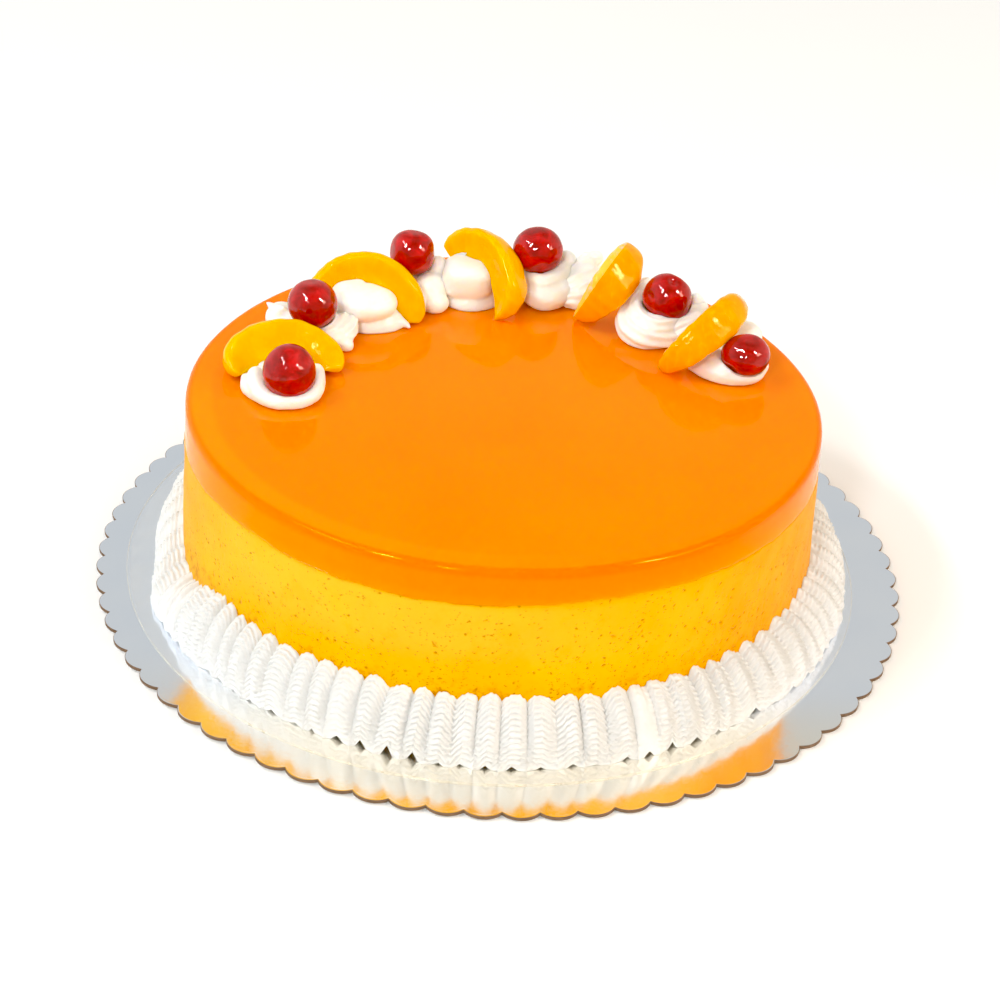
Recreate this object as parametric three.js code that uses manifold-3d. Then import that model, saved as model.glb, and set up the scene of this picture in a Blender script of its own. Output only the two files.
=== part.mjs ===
// Ice cream cake on its scalloped foil card: a round mousse layer under a clear
// orange jelly layer, a ruffled cream border round the foot, and an arc of cream
// rosettes, glazed cherries and peach slices along the back of the top.
// Units are millimetres, +Z is up. The origin is the centre of the card's underside.
import * as THREE from 'three';
import { mergeVertices } from 'three/addons/utils/BufferGeometryUtils.js';
import Module from 'manifold-3d';

const wasm = await Module();
wasm.setup();

// ---------------------------------------------------------------- driving sizes
const GAP = 0.35;                 // clearance kept between shaped neighbours

const CARD_THICK = 1.5;           // scalloped foil card, nearly 32 cm across the tips
const CARD_SCALLOPS = 75;
const CARD_CUSP_R = 154.9;        // radius at the notches
const CARD_TIP_R = 157.8;         // radius at the tips
const CARD_TURN = -0.25;          // the card's turn about Z, degrees

const CAKE_X = -1.8;              // the cake stands a little off the card's centre
const CAKE_Y = 0;

const DISC_R = 143;               // thin clear disc that the cake is lifted by
const DISC_THICK = 0.6;
const DISC_X = CAKE_X - 1.7;
const DISC_Y = CAKE_Y + 2.0;

const CAKE_TOP_R = 120;           // 24 cm cake
const CAKE_HEIGHT = 74.0;         // from the disc to the jelly's top
const WALL_FLARE = 0.0423;        // the wall widens downwards, mm per mm
const JELLY_THICK = 14.0;
const JELLY_RIM_R = 1.4;          // rounded rim of the jelly
const ROUND_SEGS = 72;

const BORDER_FOLDS = 90;          // folds of the ribbon piped round the foot
const BORDER_FIRST = -89.4;       // angle of a fold's middle, degrees
const BORDER_HEIGHT = 24.0;       // height of a fold at the wall
const BORDER_R = 134.0;           // outer radius at the disc
const BORDER_DROP = 3.4;          // how much lower the edge is between two folds
const BORDER_WAVE = 1.3;          // half depth of the folds at mid height
const BORDER_TOE = 1.2;           // half depth of the turns at the foot

const Z_DISC = CARD_THICK;
const Z_CAKE = CARD_THICK + DISC_THICK;
const Z_TOP = Z_CAKE + CAKE_HEIGHT;
const Z_JELLY = Z_TOP - JELLY_THICK;

// Toppings: places are measured from the cake's axis, heights from the jelly's top.
// Rosettes: centre, half widths along X and Y, height, lobes, first lobe's angle,
// twist of the lobes over the height, and how far the tip leans.
const ROSETTES = [
  { x: -84.0, y: -5.0, rx: 16.6, ry: 15.4, h: 9.5, lobes: 6, phase: 0.2, twist: 0.7, lean: [-1.0, 2.0] },
  { x: -80.0, y: 40.5, rx: 18.4, ry: 16.4, h: 13.0, lobes: 7, phase: 0.5, twist: 0.8, lean: [0.0, 0.0] },
  { x: -55.6, y: 56.5, rx: 16.6, ry: 16.0, h: 17.0, lobes: 6, phase: 0.1, twist: 0.6, lean: [-1.0, 1.0] },
  { x: -37.6, y: 79.4, rx: 12.8, ry: 13.4, h: 15.0, lobes: 6, phase: 0.3, twist: 0.7, lean: [0.0, -1.0] },
  { x: -14.5, y: 80.5, rx: 13.4, ry: 14.0, h: 18.6, lobes: 6, phase: 0.0, twist: 0.5, lean: [0.0, 0.0] },
  { x: 12.6, y: 86.8, rx: 12.6, ry: 13.4, h: 15.0, lobes: 6, phase: 0.6, twist: 0.8, lean: [0.0, 0.0] },
  { x: 36.0, y: 87.0, rx: 13.0, ry: 14.2, h: 15.0, lobes: 6, phase: 0.4, twist: 0.7, lean: [1.0, 2.0] },
  { x: 59.0, y: 64.0, rx: 17.4, ry: 17.4, h: 14.5, lobes: 7, phase: 0.1, twist: 0.9, lean: [0.5, 0.0] },
  { x: 81.0, y: 52.0, rx: 12.8, ry: 12.4, h: 13.0, lobes: 6, phase: 0.7, twist: 0.7, lean: [0.0, 0.0] },
  { x: 85.6, y: 32.0, rx: 15.0, ry: 13.4, h: 8.5, lobes: 6, phase: 0.2, twist: 0.7, lean: [0.0, 3.0] },
];
// Cherries: centre, half widths, and a slow uneven swell.
const CHERRIES = [
  { x: -80.5, y: -12.6, z: 11.2, r: [10.0, 10.0, 10.0], seed: 1.3 },
  { x: -76.6, y: 33.4, z: 16.0, r: [9.9, 9.7, 9.6], seed: 2.1 },
  { x: -40.8, y: 76.5, z: 19.8, r: [9.1, 9.0, 9.1], seed: 3.7 },
  { x: 9.7, y: 86.0, z: 20.0, r: [9.9, 9.8, 9.7], seed: 4.9 },
  { x: 61.9, y: 57.5, z: 16.4, r: [9.9, 9.8, 9.7], seed: 5.2 },
  { x: 91.5, y: 22.8, z: 10.6, r: [9.2, 8.8, 8.2], seed: 6.6 },
];
// Peach slices: each is a wedge of a hollow ball. Centre of the ball, direction
// of the wedge's bulge, direction from end to end, outer radius, stone radius,
// half the wedge's angle, stretch from end to end, taper and bluntness of the ends.
const SLICES = [
  { o: [-83.0, 1.0, 3.0], bulge: [-0.219, 0.942, 0.254], chord: [0.974, 0.228, -0.004],
    ro: 24.0, ri: 10.7, half: 0.354, long: 1.0, taper: 0.7, blunt: 0.35 },
  { o: [-58.3, 51.1, 3.3], bulge: [0.093, 0.652, 0.753], chord: [0.995, -0.033, -0.095],
    ro: 25.2, ri: 11.2, half: 0.351, long: 1.0, taper: 0.7, blunt: 0.35 },
  { o: [-17.1, 74.5, 8.4], bulge: [0.681, 0.130, 0.720], chord: [0.553, -0.736, -0.391],
    ro: 22.3, ri: 9.9, half: 0.370, long: 1.04, taper: 0.72, blunt: 0.3 },
  { o: [35.5, 75.7, 10.8], bulge: [0.336, -0.755, 0.563], chord: [0.515, 0.648, 0.561],
    ro: 21.9, ri: 10.9, half: 0.397, long: 0.955, taper: 1.0, blunt: 0.25 },
  { o: [73.8, 41.0, 8.3], bulge: [0.324, -0.687, 0.650], chord: [0.660, 0.657, 0.365],
    ro: 22.8, ri: 11.1, half: 0.327, long: 1.01, taper: 0.8, blunt: 0.34 },
];

// ---------------------------------------------------------------- finishes
const finish = (color, roughness, metalness = 0, extra = {}) =>
  new THREE.MeshStandardMaterial({ color, roughness, metalness, ...extra });
const MATERIALS = {
  card: () => finish(0xc9cfd6, 0.25, 0.9),
  disc: () => finish(0xe8eef2, 0.08, 0, { transparent: true, opacity: 0.25 }),
  mousse: () => finish(0xffc91a, 0.6),
  jelly: () => finish(0xff8c00, 0.1),
  cream: () => finish(0xfdfbf5, 0.5),
  cherry: () => finish(0xb40a19, 0.12),
  peach: () => finish(0xffb400, 0.25),
};

// ---------------------------------------------------------------- helpers
const TAU = Math.PI * 2;
// A repeatable uneven value between -1 and 1 for any number.
const uneven = (n) => {
  const s = Math.sin(n * 12.9898 + 4.137) * 43758.5453;
  return (s - Math.floor(s)) * 2 - 1;
};
const wallRadius = (z) => CAKE_TOP_R + WALL_FLARE * (Z_TOP - z);

// A closed body from rings of points: rings[i][j], each ring a closed loop seen
// anticlockwise from the outside of the last ring. Ends are closed by fans.
function bodyFromRings(rings, capStart = true, capEnd = true) {
  const n = rings[0].length;
  const pos = [];
  const index = [];
  for (const ring of rings) for (const p of ring) pos.push(p[0], p[1], p[2]);
  for (let i = 0; i + 1 < rings.length; i++) {
    for (let j = 0; j < n; j++) {
      const a = i * n + j;
      const b = i * n + ((j + 1) % n);
      index.push(a, b, b + n, a, b + n, a + n);
    }
  }
  const fan = (k, flip) => {
    const c = [0, 0, 0];
    for (const p of rings[k]) for (let m = 0; m < 3; m++) c[m] += p[m] / n;
    const ci = pos.length / 3;
    pos.push(...c);
    for (let j = 0; j < n; j++) {
      const a = k * n + j;
      const b = k * n + ((j + 1) % n);
      if (flip) index.push(ci, b, a);
      else index.push(ci, a, b);
    }
  };
  if (capStart) fan(0, true);
  if (capEnd) fan(rings.length - 1, false);
  const g = new THREE.BufferGeometry();
  g.setAttribute('position', new THREE.Float32BufferAttribute(pos, 3));
  g.setIndex(index);
  return g;
}

const toSolid = (geometry) => {
  const g = geometry.clone();
  for (const name of ['normal', 'uv']) if (g.getAttribute(name)) g.deleteAttribute(name);
  const merged = mergeVertices(g, 1e-4);
  return new wasm.Manifold(new wasm.Mesh({
    numProp: 3,
    vertProperties: new Float32Array(merged.getAttribute('position').array),
    triVerts: new Uint32Array(merged.getIndex().array),
  }));
};
const toGeometry = (solid) => {
  const mesh = solid.getMesh();
  const pos = new Float32Array(mesh.numVert * 3);
  for (let i = 0; i < mesh.numVert; i++) {
    for (let k = 0; k < 3; k++) pos[i * 3 + k] = mesh.vertProperties[i * mesh.numProp + k];
  }
  const g = new THREE.BufferGeometry();
  g.setAttribute('position', new THREE.BufferAttribute(pos, 3));
  g.setIndex(new THREE.BufferAttribute(new Uint32Array(mesh.triVerts), 1));
  return g;
};

const cake = new THREE.Group();
function add(name, geometry, material) {
  geometry.deleteAttribute('normal');
  const flat = geometry.index ? geometry.toNonIndexed() : geometry;
  flat.computeVertexNormals();
  const mesh = new THREE.Mesh(flat, material);
  mesh.name = name;
  cake.add(mesh);
  return mesh;
}

// ---------------------------------------------------------------- card and disc
function cardGeometry() {
  const shape = new THREE.Shape();
  const step = TAU / CARD_SCALLOPS;
  for (let i = 0; i < CARD_SCALLOPS; i++) {
    const a0 = -Math.PI / 2 + THREE.MathUtils.degToRad(CARD_TURN) + (i - 0.5) * step;
    for (const t of [0, 0.27, 0.73]) {
      const bulge = Math.sqrt(Math.max(0, 1 - (2 * t - 1) ** 2));
      const r = CARD_CUSP_R + (CARD_TIP_R - CARD_CUSP_R) * bulge;
      const a = a0 + t * step;
      if (i === 0 && t === 0) shape.moveTo(r * Math.cos(a), r * Math.sin(a));
      else shape.lineTo(r * Math.cos(a), r * Math.sin(a));
    }
  }
  shape.closePath();
  return new THREE.ExtrudeGeometry(shape, { depth: CARD_THICK, bevelEnabled: false });
}
add('foil_card', cardGeometry(), MATERIALS.card());

const disc = new THREE.CylinderGeometry(DISC_R, DISC_R, DISC_THICK, ROUND_SEGS);
disc.rotateX(Math.PI / 2);
disc.translate(DISC_X, DISC_Y, Z_DISC + DISC_THICK / 2);
add('clear_disc', disc, MATERIALS.disc());

// ---------------------------------------------------------------- cake layers
// Lathe about the cake's axis; the profile runs from the axis out and back.
function turned(profile) {
  const g = new THREE.LatheGeometry(profile.map(([r, z]) => new THREE.Vector2(r, z)), ROUND_SEGS);
  g.rotateX(Math.PI / 2);
  g.translate(CAKE_X, CAKE_Y, 0);
  return g;
}
add('mousse_layer', turned([
  [0, Z_CAKE], [wallRadius(Z_CAKE), Z_CAKE],
  [wallRadius(Z_JELLY), Z_JELLY], [0, Z_JELLY],
]), MATERIALS.mousse());

const rim = [];
for (const a of [0, 45, 90]) {
  const t = THREE.MathUtils.degToRad(a);
  rim.push([
    CAKE_TOP_R - JELLY_RIM_R * (1 - Math.cos(t)),
    Z_TOP - JELLY_RIM_R * (1 - Math.sin(t)),
  ]);
}
add('jelly_layer', turned([
  [0, Z_JELLY], [wallRadius(Z_JELLY), Z_JELLY], ...rim, [0, Z_TOP],
]), MATERIALS.jelly());

// ---------------------------------------------------------------- cream border
// One ribbon folded up and down against the wall. It turns over at the top of
// each fold, and turns back at the foot half a step further on.
function borderGeometry() {
  const pos = [];
  const index = [];
  const perFold = [0, 0.34, 0.66];
  const section = 5;
  const step = TAU / BORDER_FOLDS;
  let count = 0;
  for (let i = 0; i < BORDER_FOLDS; i++) {
    for (const t of perFold) {
      const a = THREE.MathUtils.degToRad(BORDER_FIRST) + (i - 0.5 + t) * step;
      const fold = t === 0 ? -1 : 1;
      const toe = Math.cos(TAU * t);
      const tall = borderHeight(a) + 1.2 * uneven(i) + (t === 0 ? -BORDER_DROP : 0);
      const wide = borderReach(a) + 0.7 * uneven(i + 200);
      const put = (r, z) => {
        pos.push(CAKE_X + r * Math.cos(a), CAKE_Y + r * Math.sin(a), Z_CAKE + z);
      };
      const inner = (z) => wallRadius(Z_CAKE + z) + GAP;
      const reach = wide - inner(0);
      put(inner(0), 0);
      put(wide - 0.8 + BORDER_TOE * toe, 0);
      put(wide + BORDER_TOE * toe, 2.4);
      put(inner(0) + reach * 0.66 + BORDER_WAVE * fold, tall * 0.6);
      put(inner(tall), tall);
      count++;
    }
  }
  for (let i = 0; i < count; i++) {
    const k = (i + 1) % count;
    for (let j = 0; j < section; j++) {
      const m = (j + 1) % section;
      const a = i * section + j;
      const b = k * section + j;
      const c = k * section + m;
      const d = i * section + m;
      index.push(a, b, c, a, c, d);
    }
  }
  const g = new THREE.BufferGeometry();
  g.setAttribute('position', new THREE.Float32BufferAttribute(pos, 3));
  g.setIndex(index);
  return g;
}
// A smooth swell of a given height and half width about an angle, in degrees.
function swell(a, at, width, height) {
  let d = THREE.MathUtils.radToDeg(a) - at;
  d = ((d % 360) + 540) % 360 - 180;
  return height * Math.exp(-((d / width) ** 2));
}
// The foot is wider to the right, and where the ribbon was begun and ended.
function borderReach(a) {
  return BORDER_R + swell(a, 3, 38, 4.6) + swell(a, 208, 11, 3.0)
    + swell(a, 197.5, 2.6, 3.4) - swell(a, 262, 50, 1.0);
}
// The ribbon lies lower where it was begun and ended, and a little at the right.
function borderHeight(a) {
  return BORDER_HEIGHT - swell(a, 200, 10, 9.0) - swell(a, 350, 16, 3.4);
}
add('cream_border', borderGeometry(), MATERIALS.cream());

// ---------------------------------------------------------------- toppings
// A piped rosette: a squat dome with twisted lobes on a flat foot.
function rosetteGeometry(r, grow = 0) {
  const rows = [[0.94, 0], [1.0, 0.22], [0.84, 0.58], [0.42, 0.88]];
  const per = 2;
  const n = r.lobes * per;
  const rings = [];
  for (const [f, t] of rows) {
    const ring = [];
    for (let j = 0; j < n; j++) {
      const a = (j / n) * TAU + r.phase + r.twist * t;
      const lobe = 1 + (j % per === 0 ? -0.085 : 0.03);
      const lean = t * t;
      ring.push([
        r.x + (r.rx * f * lobe + grow) * Math.cos(a) + r.lean[0] * lean,
        r.y + (r.ry * f * lobe + grow) * Math.sin(a) + r.lean[1] * lean,
        t === 0 ? -grow * 3 : r.h * t + grow,
      ]);
    }
    rings.push(ring);
  }
  const g = bodyFromRings(rings, true, false);
  // The tip.
  const pos = Array.from(g.getAttribute('position').array);
  const index = Array.from(g.getIndex().array);
  const tip = pos.length / 3;
  pos.push(r.x + r.lean[0], r.y + r.lean[1], r.h + grow);
  const k = (rows.length - 1) * n;
  for (let j = 0; j < n; j++) index.push(tip, k + j, k + ((j + 1) % n));
  const out = new THREE.BufferGeometry();
  out.setAttribute('position', new THREE.Float32BufferAttribute(pos, 3));
  out.setIndex(index);
  return out;
}

// A cherry: a ball swollen a little unevenly, with a dimple where the stalk was.
function cherryGeometry(c, grow = 0) {
  const g = new THREE.SphereGeometry(1, 12, 8);
  g.rotateX(Math.PI / 2);
  g.deleteAttribute('normal');
  g.deleteAttribute('uv');
  const out = mergeVertices(g, 1e-4);
  const p = out.getAttribute('position');
  for (let i = 0; i < p.count; i++) {
    const v = new THREE.Vector3().fromBufferAttribute(p, i);
    const s = 1 + 0.025 * Math.sin(3 * v.x + c.seed) + 0.025 * Math.sin(2.6 * v.y + 2 * c.seed)
      + 0.02 * Math.sin(3.4 * v.z + 3 * c.seed);
    p.setXYZ(i,
      c.x + (c.r[0] * s + grow) * v.x,
      c.y + (c.r[1] * s + grow) * v.y,
      c.z + (c.r[2] * s + grow) * v.z);
  }
  return out;
}

// A peach slice: a section like a rounded wedge, swept over the half circle from
// end to end, with blunt rounded ends.
function sliceGeometry(s, grow = 0) {
  const z = new THREE.Vector3(...s.chord).normalize();
  const x = new THREE.Vector3(...s.bulge);
  x.addScaledVector(z, -x.dot(z)).normalize();
  const y = new THREE.Vector3().crossVectors(z, x);
  const o = new THREE.Vector3(...s.o);
  const mid = (s.ro + s.ri) / 2;
  const halfWide = (s.ro - s.ri) / 2;
  const end = Math.PI / 2 + 0.02 + grow / s.ri;
  const stations = 12;
  const rings = [];
  for (let i = 0; i <= stations; i++) {
    const t = -1 + (2 * i) / stations;
    const f = end * Math.sign(t) * (Math.abs(t) ** 0.9);
    // The end rounds off over its last quarter.
    const e = Math.max(0, (Math.abs(f) / end - 0.72) / 0.28);
    const w = halfWide * (s.blunt + (1 - s.blunt) * Math.sqrt(1 - e * e * 0.98)) + grow;
    const thin = Math.max(0.2, Math.max(0, Math.cos(f * 0.97)) ** s.taper);
    const outer = s.ro * Math.sin(s.half) * thin + grow;
    const inner = s.ri * Math.sin(s.half) * thin + grow;
    // Section: crowned outer face, two flat cut faces, hollow inner face.
    const section = [
      [w, 0], [w * 0.86, outer * 0.86], [w * 0.5, outer * 0.98], [-w * 0.9, inner],
      [-w, 0], [-w * 0.9, -inner], [w * 0.5, -outer * 0.98], [w * 0.86, -outer * 0.86],
    ];
    rings.push(section.map(([u, v]) => {
      const p = o.clone()
        .addScaledVector(x, (mid + u) * Math.cos(f))
        .addScaledVector(z, (mid + u) * Math.sin(f) * s.long)
        .addScaledVector(y, v);
      return [p.x, p.y, p.z];
    }));
  }
  return bodyFromRings(rings);
}

// A flat-sided block from the jelly's top down, to trim what would dip into it.
const below = () => {
  const g = new THREE.BoxGeometry(300, 300, 20);
  g.translate(0, 0, -10);
  return toSolid(g);
};

const cherrySolids = CHERRIES.map((c) => toSolid(cherryGeometry(c)));
const cherryGrown = CHERRIES.map((c) => toSolid(cherryGeometry(c, GAP)));
const sliceSolids = SLICES.map((s) => {
  let m = toSolid(sliceGeometry(s)).subtract(below());
  for (const c of cherryGrown) m = m.subtract(c);
  return m;
});
const sliceGrown = SLICES.map((s) => toSolid(sliceGeometry(s, GAP)));
const rosetteSolids = [];
ROSETTES.forEach((r, i) => {
  let m = toSolid(rosetteGeometry(r));
  for (const c of cherryGrown) m = m.subtract(c);
  for (const s of sliceGrown) m = m.subtract(s);
  for (let k = 0; k < i; k++) m = m.subtract(toSolid(rosetteGeometry(ROSETTES[k], GAP)));
  rosetteSolids.push(m);
});

const two = (n) => String(n + 1).padStart(2, '0');
const place = (solid) => {
  const g = toGeometry(solid);
  g.translate(CAKE_X, CAKE_Y, Z_TOP);
  return g;
};
rosetteSolids.forEach((m, i) => add('rosette_' + two(i), place(m), MATERIALS.cream()));
sliceSolids.forEach((m, i) => add('peach_slice_' + two(i), place(m), MATERIALS.peach()));
cherrySolids.forEach((m, i) => add('cherry_' + two(i), place(m), MATERIALS.cherry()));

export default cake;
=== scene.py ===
import math

import bpy
import numpy as np
from mathutils import Matrix, Vector


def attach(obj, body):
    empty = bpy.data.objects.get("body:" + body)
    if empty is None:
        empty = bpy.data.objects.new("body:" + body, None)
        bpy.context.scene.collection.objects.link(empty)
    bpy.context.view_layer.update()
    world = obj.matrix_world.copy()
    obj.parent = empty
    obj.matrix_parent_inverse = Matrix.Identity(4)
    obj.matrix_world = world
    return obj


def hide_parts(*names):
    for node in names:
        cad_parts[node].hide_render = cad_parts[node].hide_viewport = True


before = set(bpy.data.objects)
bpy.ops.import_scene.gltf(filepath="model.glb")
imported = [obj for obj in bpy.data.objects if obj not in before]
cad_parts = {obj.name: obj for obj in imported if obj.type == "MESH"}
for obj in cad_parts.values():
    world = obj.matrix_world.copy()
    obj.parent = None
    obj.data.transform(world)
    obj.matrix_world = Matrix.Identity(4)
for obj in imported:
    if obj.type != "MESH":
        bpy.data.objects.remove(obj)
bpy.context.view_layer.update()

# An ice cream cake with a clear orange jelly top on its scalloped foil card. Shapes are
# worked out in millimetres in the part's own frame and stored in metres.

MM = 0.001

# ------------------------------------------------------------------ driving sizes
CARD_THICK = 1.5
CARD_SCALLOPS = 75
CARD_CUSP_R = 154.9
CARD_TIP_R = 157.8
CARD_TURN = -0.25
CAKE_X, CAKE_Y = -1.8, 0.0
DISC_R, DISC_THICK = 143.0, 0.6
DISC_X, DISC_Y = CAKE_X - 1.7, CAKE_Y + 2.0
CAKE_TOP_R = 120.0
CAKE_HEIGHT = 74.0
WALL_FLARE = 0.0423
JELLY_THICK = 14.0
Z_DISC = CARD_THICK
Z_CAKE = CARD_THICK + DISC_THICK
Z_TOP = Z_CAKE + CAKE_HEIGHT
Z_JELLY = Z_TOP - JELLY_THICK
BORDER_R = 134.0
BORDER_HEIGHT = 24.0

# How deep the jelly reaches below the top, by angle round the cake.
JELLY_DEPTH = [(180, 14.6), (204.5, 15.0), (215, 13.9), (224, 13.3), (234, 14.3), (242, 14.7),
               (248, 14.5), (254, 14.8), (263, 14.6), (272, 14.0), (279, 13.1), (288, 12.6),
               (297, 12.8), (309, 13.2), (322, 13.4), (350, 13.8), (400, 14.3), (440, 13.7),
               (480, 14.2), (510, 13.8), (540, 14.6)]

# Middles of the border's folds where the ribbon was piped unevenly along the front.
FRONT_FOLDS = [211.2, 215.9, 219.9, 222.9, 226.3, 230.4, 234.6, 239.1, 242.6, 247.0, 251.6,
               256.3, 260.0, 263.6, 266.7, 270.6, 274.5, 278.7, 283.1, 287.0, 291.5, 295.2,
               299.2, 303.4, 307.2, 310.6, 314.8, 319.4, 323.8, 328.8, 332.5]

CHERRIES = [
    dict(c=(-80.5, -12.6, 11.2), r=(10.0, 10.0, 10.0), seed=1.3),
    dict(c=(-76.6, 33.4, 16.0), r=(9.9, 9.7, 9.6), seed=2.1),
    dict(c=(-40.8, 76.5, 19.8), r=(9.1, 9.0, 9.1), seed=3.7),
    dict(c=(9.7, 86.0, 20.0), r=(9.9, 9.8, 9.7), seed=4.9),
    dict(c=(61.9, 57.5, 15.9), r=(9.9, 9.8, 10.3), seed=5.2),
    dict(c=(91.5, 22.8, 10.6), r=(9.2, 8.8, 8.2), seed=6.6),
]
SLICES = [
    dict(o=(-83.0, 1.0, 3.0), bulge=(-0.219, 0.942, 0.254), chord=(0.974, 0.228, -0.004),
         ro=24.0, ri=8.0, half=0.354, long=(1.13, 1.0), taper=0.7, ends=(0.16, 0.35)),
    dict(o=(-58.3, 51.1, 3.3), bulge=(0.093, 0.652, 0.753), chord=(0.995, -0.033, -0.095),
         ro=25.2, ri=10.8, half=0.351, long=(1.0, 1.0), taper=0.7, ends=(0.35, 0.42)),
    dict(o=(-17.1, 74.5, 8.4), bulge=(0.681, 0.130, 0.720), chord=(0.553, -0.736, -0.391),
         ro=22.3, ri=9.9, half=0.370, long=(1.05, 1.24), taper=0.72, ends=(0.45, 0.0)),
    dict(o=(35.5, 75.7, 10.8), bulge=(0.336, -0.755, 0.563), chord=(0.515, 0.648, 0.561),
         ro=21.9, ri=10.9, half=0.397, long=(1.04, 0.965), taper=1.0, ends=(0.04, 0.2)),
    dict(o=(73.8, 41.0, 8.3), bulge=(0.324, -0.687, 0.650), chord=(0.660, 0.657, 0.365),
         ro=22.8, ri=11.1, half=0.327, long=(1.26, 1.03), taper=0.8, ends=(0.0, 0.34)),
]


# ------------------------------------------------------------------ small helpers
def uneven(n):
    """A repeatable uneven value between -1 and 1 for any number or array."""
    s = np.sin(np.asarray(n, float) * 12.9898 + 4.137) * 43758.5453
    return (s - np.floor(s)) * 2 - 1


def soft(x, a, b):
    """0 below a, 1 above b, smooth between."""
    t = np.clip((np.asarray(x, float) - a) / (b - a), 0, 1)
    return t * t * (3 - 2 * t)


def swell(a, at, width, height):
    """A smooth swell of a height and half width about an angle, in degrees."""
    d = (np.asarray(a, float) - at) % 360
    d = (d + 180) % 360 - 180
    return height * np.exp(-((d / width) ** 2))


def wall_r(z):
    return CAKE_TOP_R + WALL_FLARE * (Z_TOP - z)


def jelly_depth(a):
    """Depth of the jelly's lower edge below the top, mm, by angle in degrees."""
    a = (np.asarray(a, float) - 180) % 360 + 180
    xs = np.array([p[0] for p in JELLY_DEPTH], float)
    ys = np.array([p[1] for p in JELLY_DEPTH], float)
    t = np.interp(a, xs, np.arange(len(xs)))
    i = np.clip(np.floor(t).astype(int), 0, len(xs) - 2)
    f = t - i
    f = f * f * (3 - 2 * f)
    d = ys[i] * (1 - f) + ys[i + 1] * f
    r = np.radians(a)
    return (d + 0.16 * np.sin(31 * r + 1.0) + 0.12 * np.sin(53 * r + 2.2)
            + 0.10 * np.sin(97 * r) * (0.5 + 0.5 * np.sin(7 * r)) + 0.07 * np.sin(171 * r + 0.4))


def mesh_object(name, verts, quads=None, tris=None, smooth=True):
    """A mesh object from points in mm and faces."""
    me = bpy.data.meshes.new(name)
    v = np.asarray(verts, np.float32).reshape(-1, 3) * MM
    q = np.zeros((0, 4), np.int32) if quads is None else np.asarray(quads, np.int32).reshape(-1, 4)
    t = np.zeros((0, 3), np.int32) if tris is None else np.asarray(tris, np.int32).reshape(-1, 3)
    me.vertices.add(len(v))
    me.vertices.foreach_set("co", v.ravel())
    me.loops.add(q.size + t.size)
    me.loops.foreach_set("vertex_index", np.concatenate([q.ravel(), t.ravel()]).astype(np.int32))
    me.polygons.add(len(q) + len(t))
    starts = np.concatenate([np.arange(len(q)) * 4, q.size + np.arange(len(t)) * 3])
    me.polygons.foreach_set("loop_start", starts.astype(np.int32))
    me.polygons.foreach_set("use_smooth", np.full(len(q) + len(t), smooth))
    me.update(calc_edges=True)
    me.validate()
    ob = bpy.data.objects.new(name, me)
    bpy.context.scene.collection.objects.link(ob)
    return ob


def grid_faces(rows, cols, wrap=True, first=0, flip=False):
    """Quads of a grid of rows x cols points; the columns close on themselves."""
    i = np.arange(rows - 1)[:, None]
    n = cols if wrap else cols - 1
    j = np.arange(n)[None, :]
    k = (j + 1) % cols
    a = i * cols + j
    b = i * cols + k
    c = (i + 1) * cols + k
    d = (i + 1) * cols + j
    f = np.stack([a, b, c, d], -1).reshape(-1, 4) + first
    return f[:, ::-1] if flip else f


def lathe(name, profile, segs, centre=(CAKE_X, CAKE_Y), shift=None):
    """A turned body about Z. profile runs (r, z) from the axis below, out, and back to the
    axis above. shift(radius, height, degrees) may return other radii and heights."""
    pr = np.array(profile, float)
    inner = pr[1:-1]
    ang = np.arange(segs) * 2 * np.pi / segs
    r = np.repeat(inner[:, :1], segs, 1)
    z = np.repeat(inner[:, 1:], segs, 1)
    if shift is not None:
        r, z = shift(r, z, np.degrees(ang)[None, :])
    x = centre[0] + r * np.cos(ang)
    y = centre[1] + r * np.sin(ang)
    v = np.stack([x, y, z], -1).reshape(-1, 3)
    m = len(inner)
    lo = np.array([[centre[0], centre[1], pr[0, 1]]])
    hi = np.array([[centre[0], centre[1], pr[-1, 1]]])
    v = np.concatenate([v, lo, hi])
    quads = grid_faces(m, segs)
    j = np.arange(segs)
    k = (j + 1) % segs
    low = np.stack([np.full(segs, m * segs), k, j], -1)
    top = np.stack([np.full(segs, m * segs + 1), (m - 1) * segs + j, (m - 1) * segs + k], -1)
    return mesh_object(name, v, quads, np.concatenate([low, top]))


def join(name, obs):
    """One object from several mesh objects, keeping their material slots."""
    for o in bpy.context.selected_objects:
        o.select_set(False)
    for o in obs:
        o.select_set(True)
    bpy.context.view_layer.objects.active = obs[0]
    bpy.ops.object.join()
    obs[0].name = name
    obs[0].data.name = name
    return obs[0]


def applied(ob):
    """The object with its modifiers made real."""
    dg = bpy.context.evaluated_depsgraph_get()
    me = bpy.data.meshes.new_from_object(ob.evaluated_get(dg))
    old = ob.data
    ob.modifiers.clear()
    ob.data = me
    bpy.data.meshes.remove(old)
    me.name = ob.name
    return ob


def points_of(ob):
    co = np.zeros(len(ob.data.vertices) * 3, np.float32)
    ob.data.vertices.foreach_get("co", co)
    return co.reshape(-1, 3) / MM


def set_points(ob, pts):
    ob.data.vertices.foreach_set("co", (np.asarray(pts, np.float32) * MM).ravel())
    ob.data.update()


def normals_of(ob):
    n = np.zeros(len(ob.data.vertices) * 3, np.float32)
    ob.data.vertices.foreach_get("normal", n)
    return n.reshape(-1, 3)


def shade_smooth(ob):
    ob.data.polygons.foreach_set("use_smooth", np.full(len(ob.data.polygons), True))
    ob.data.update()


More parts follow.
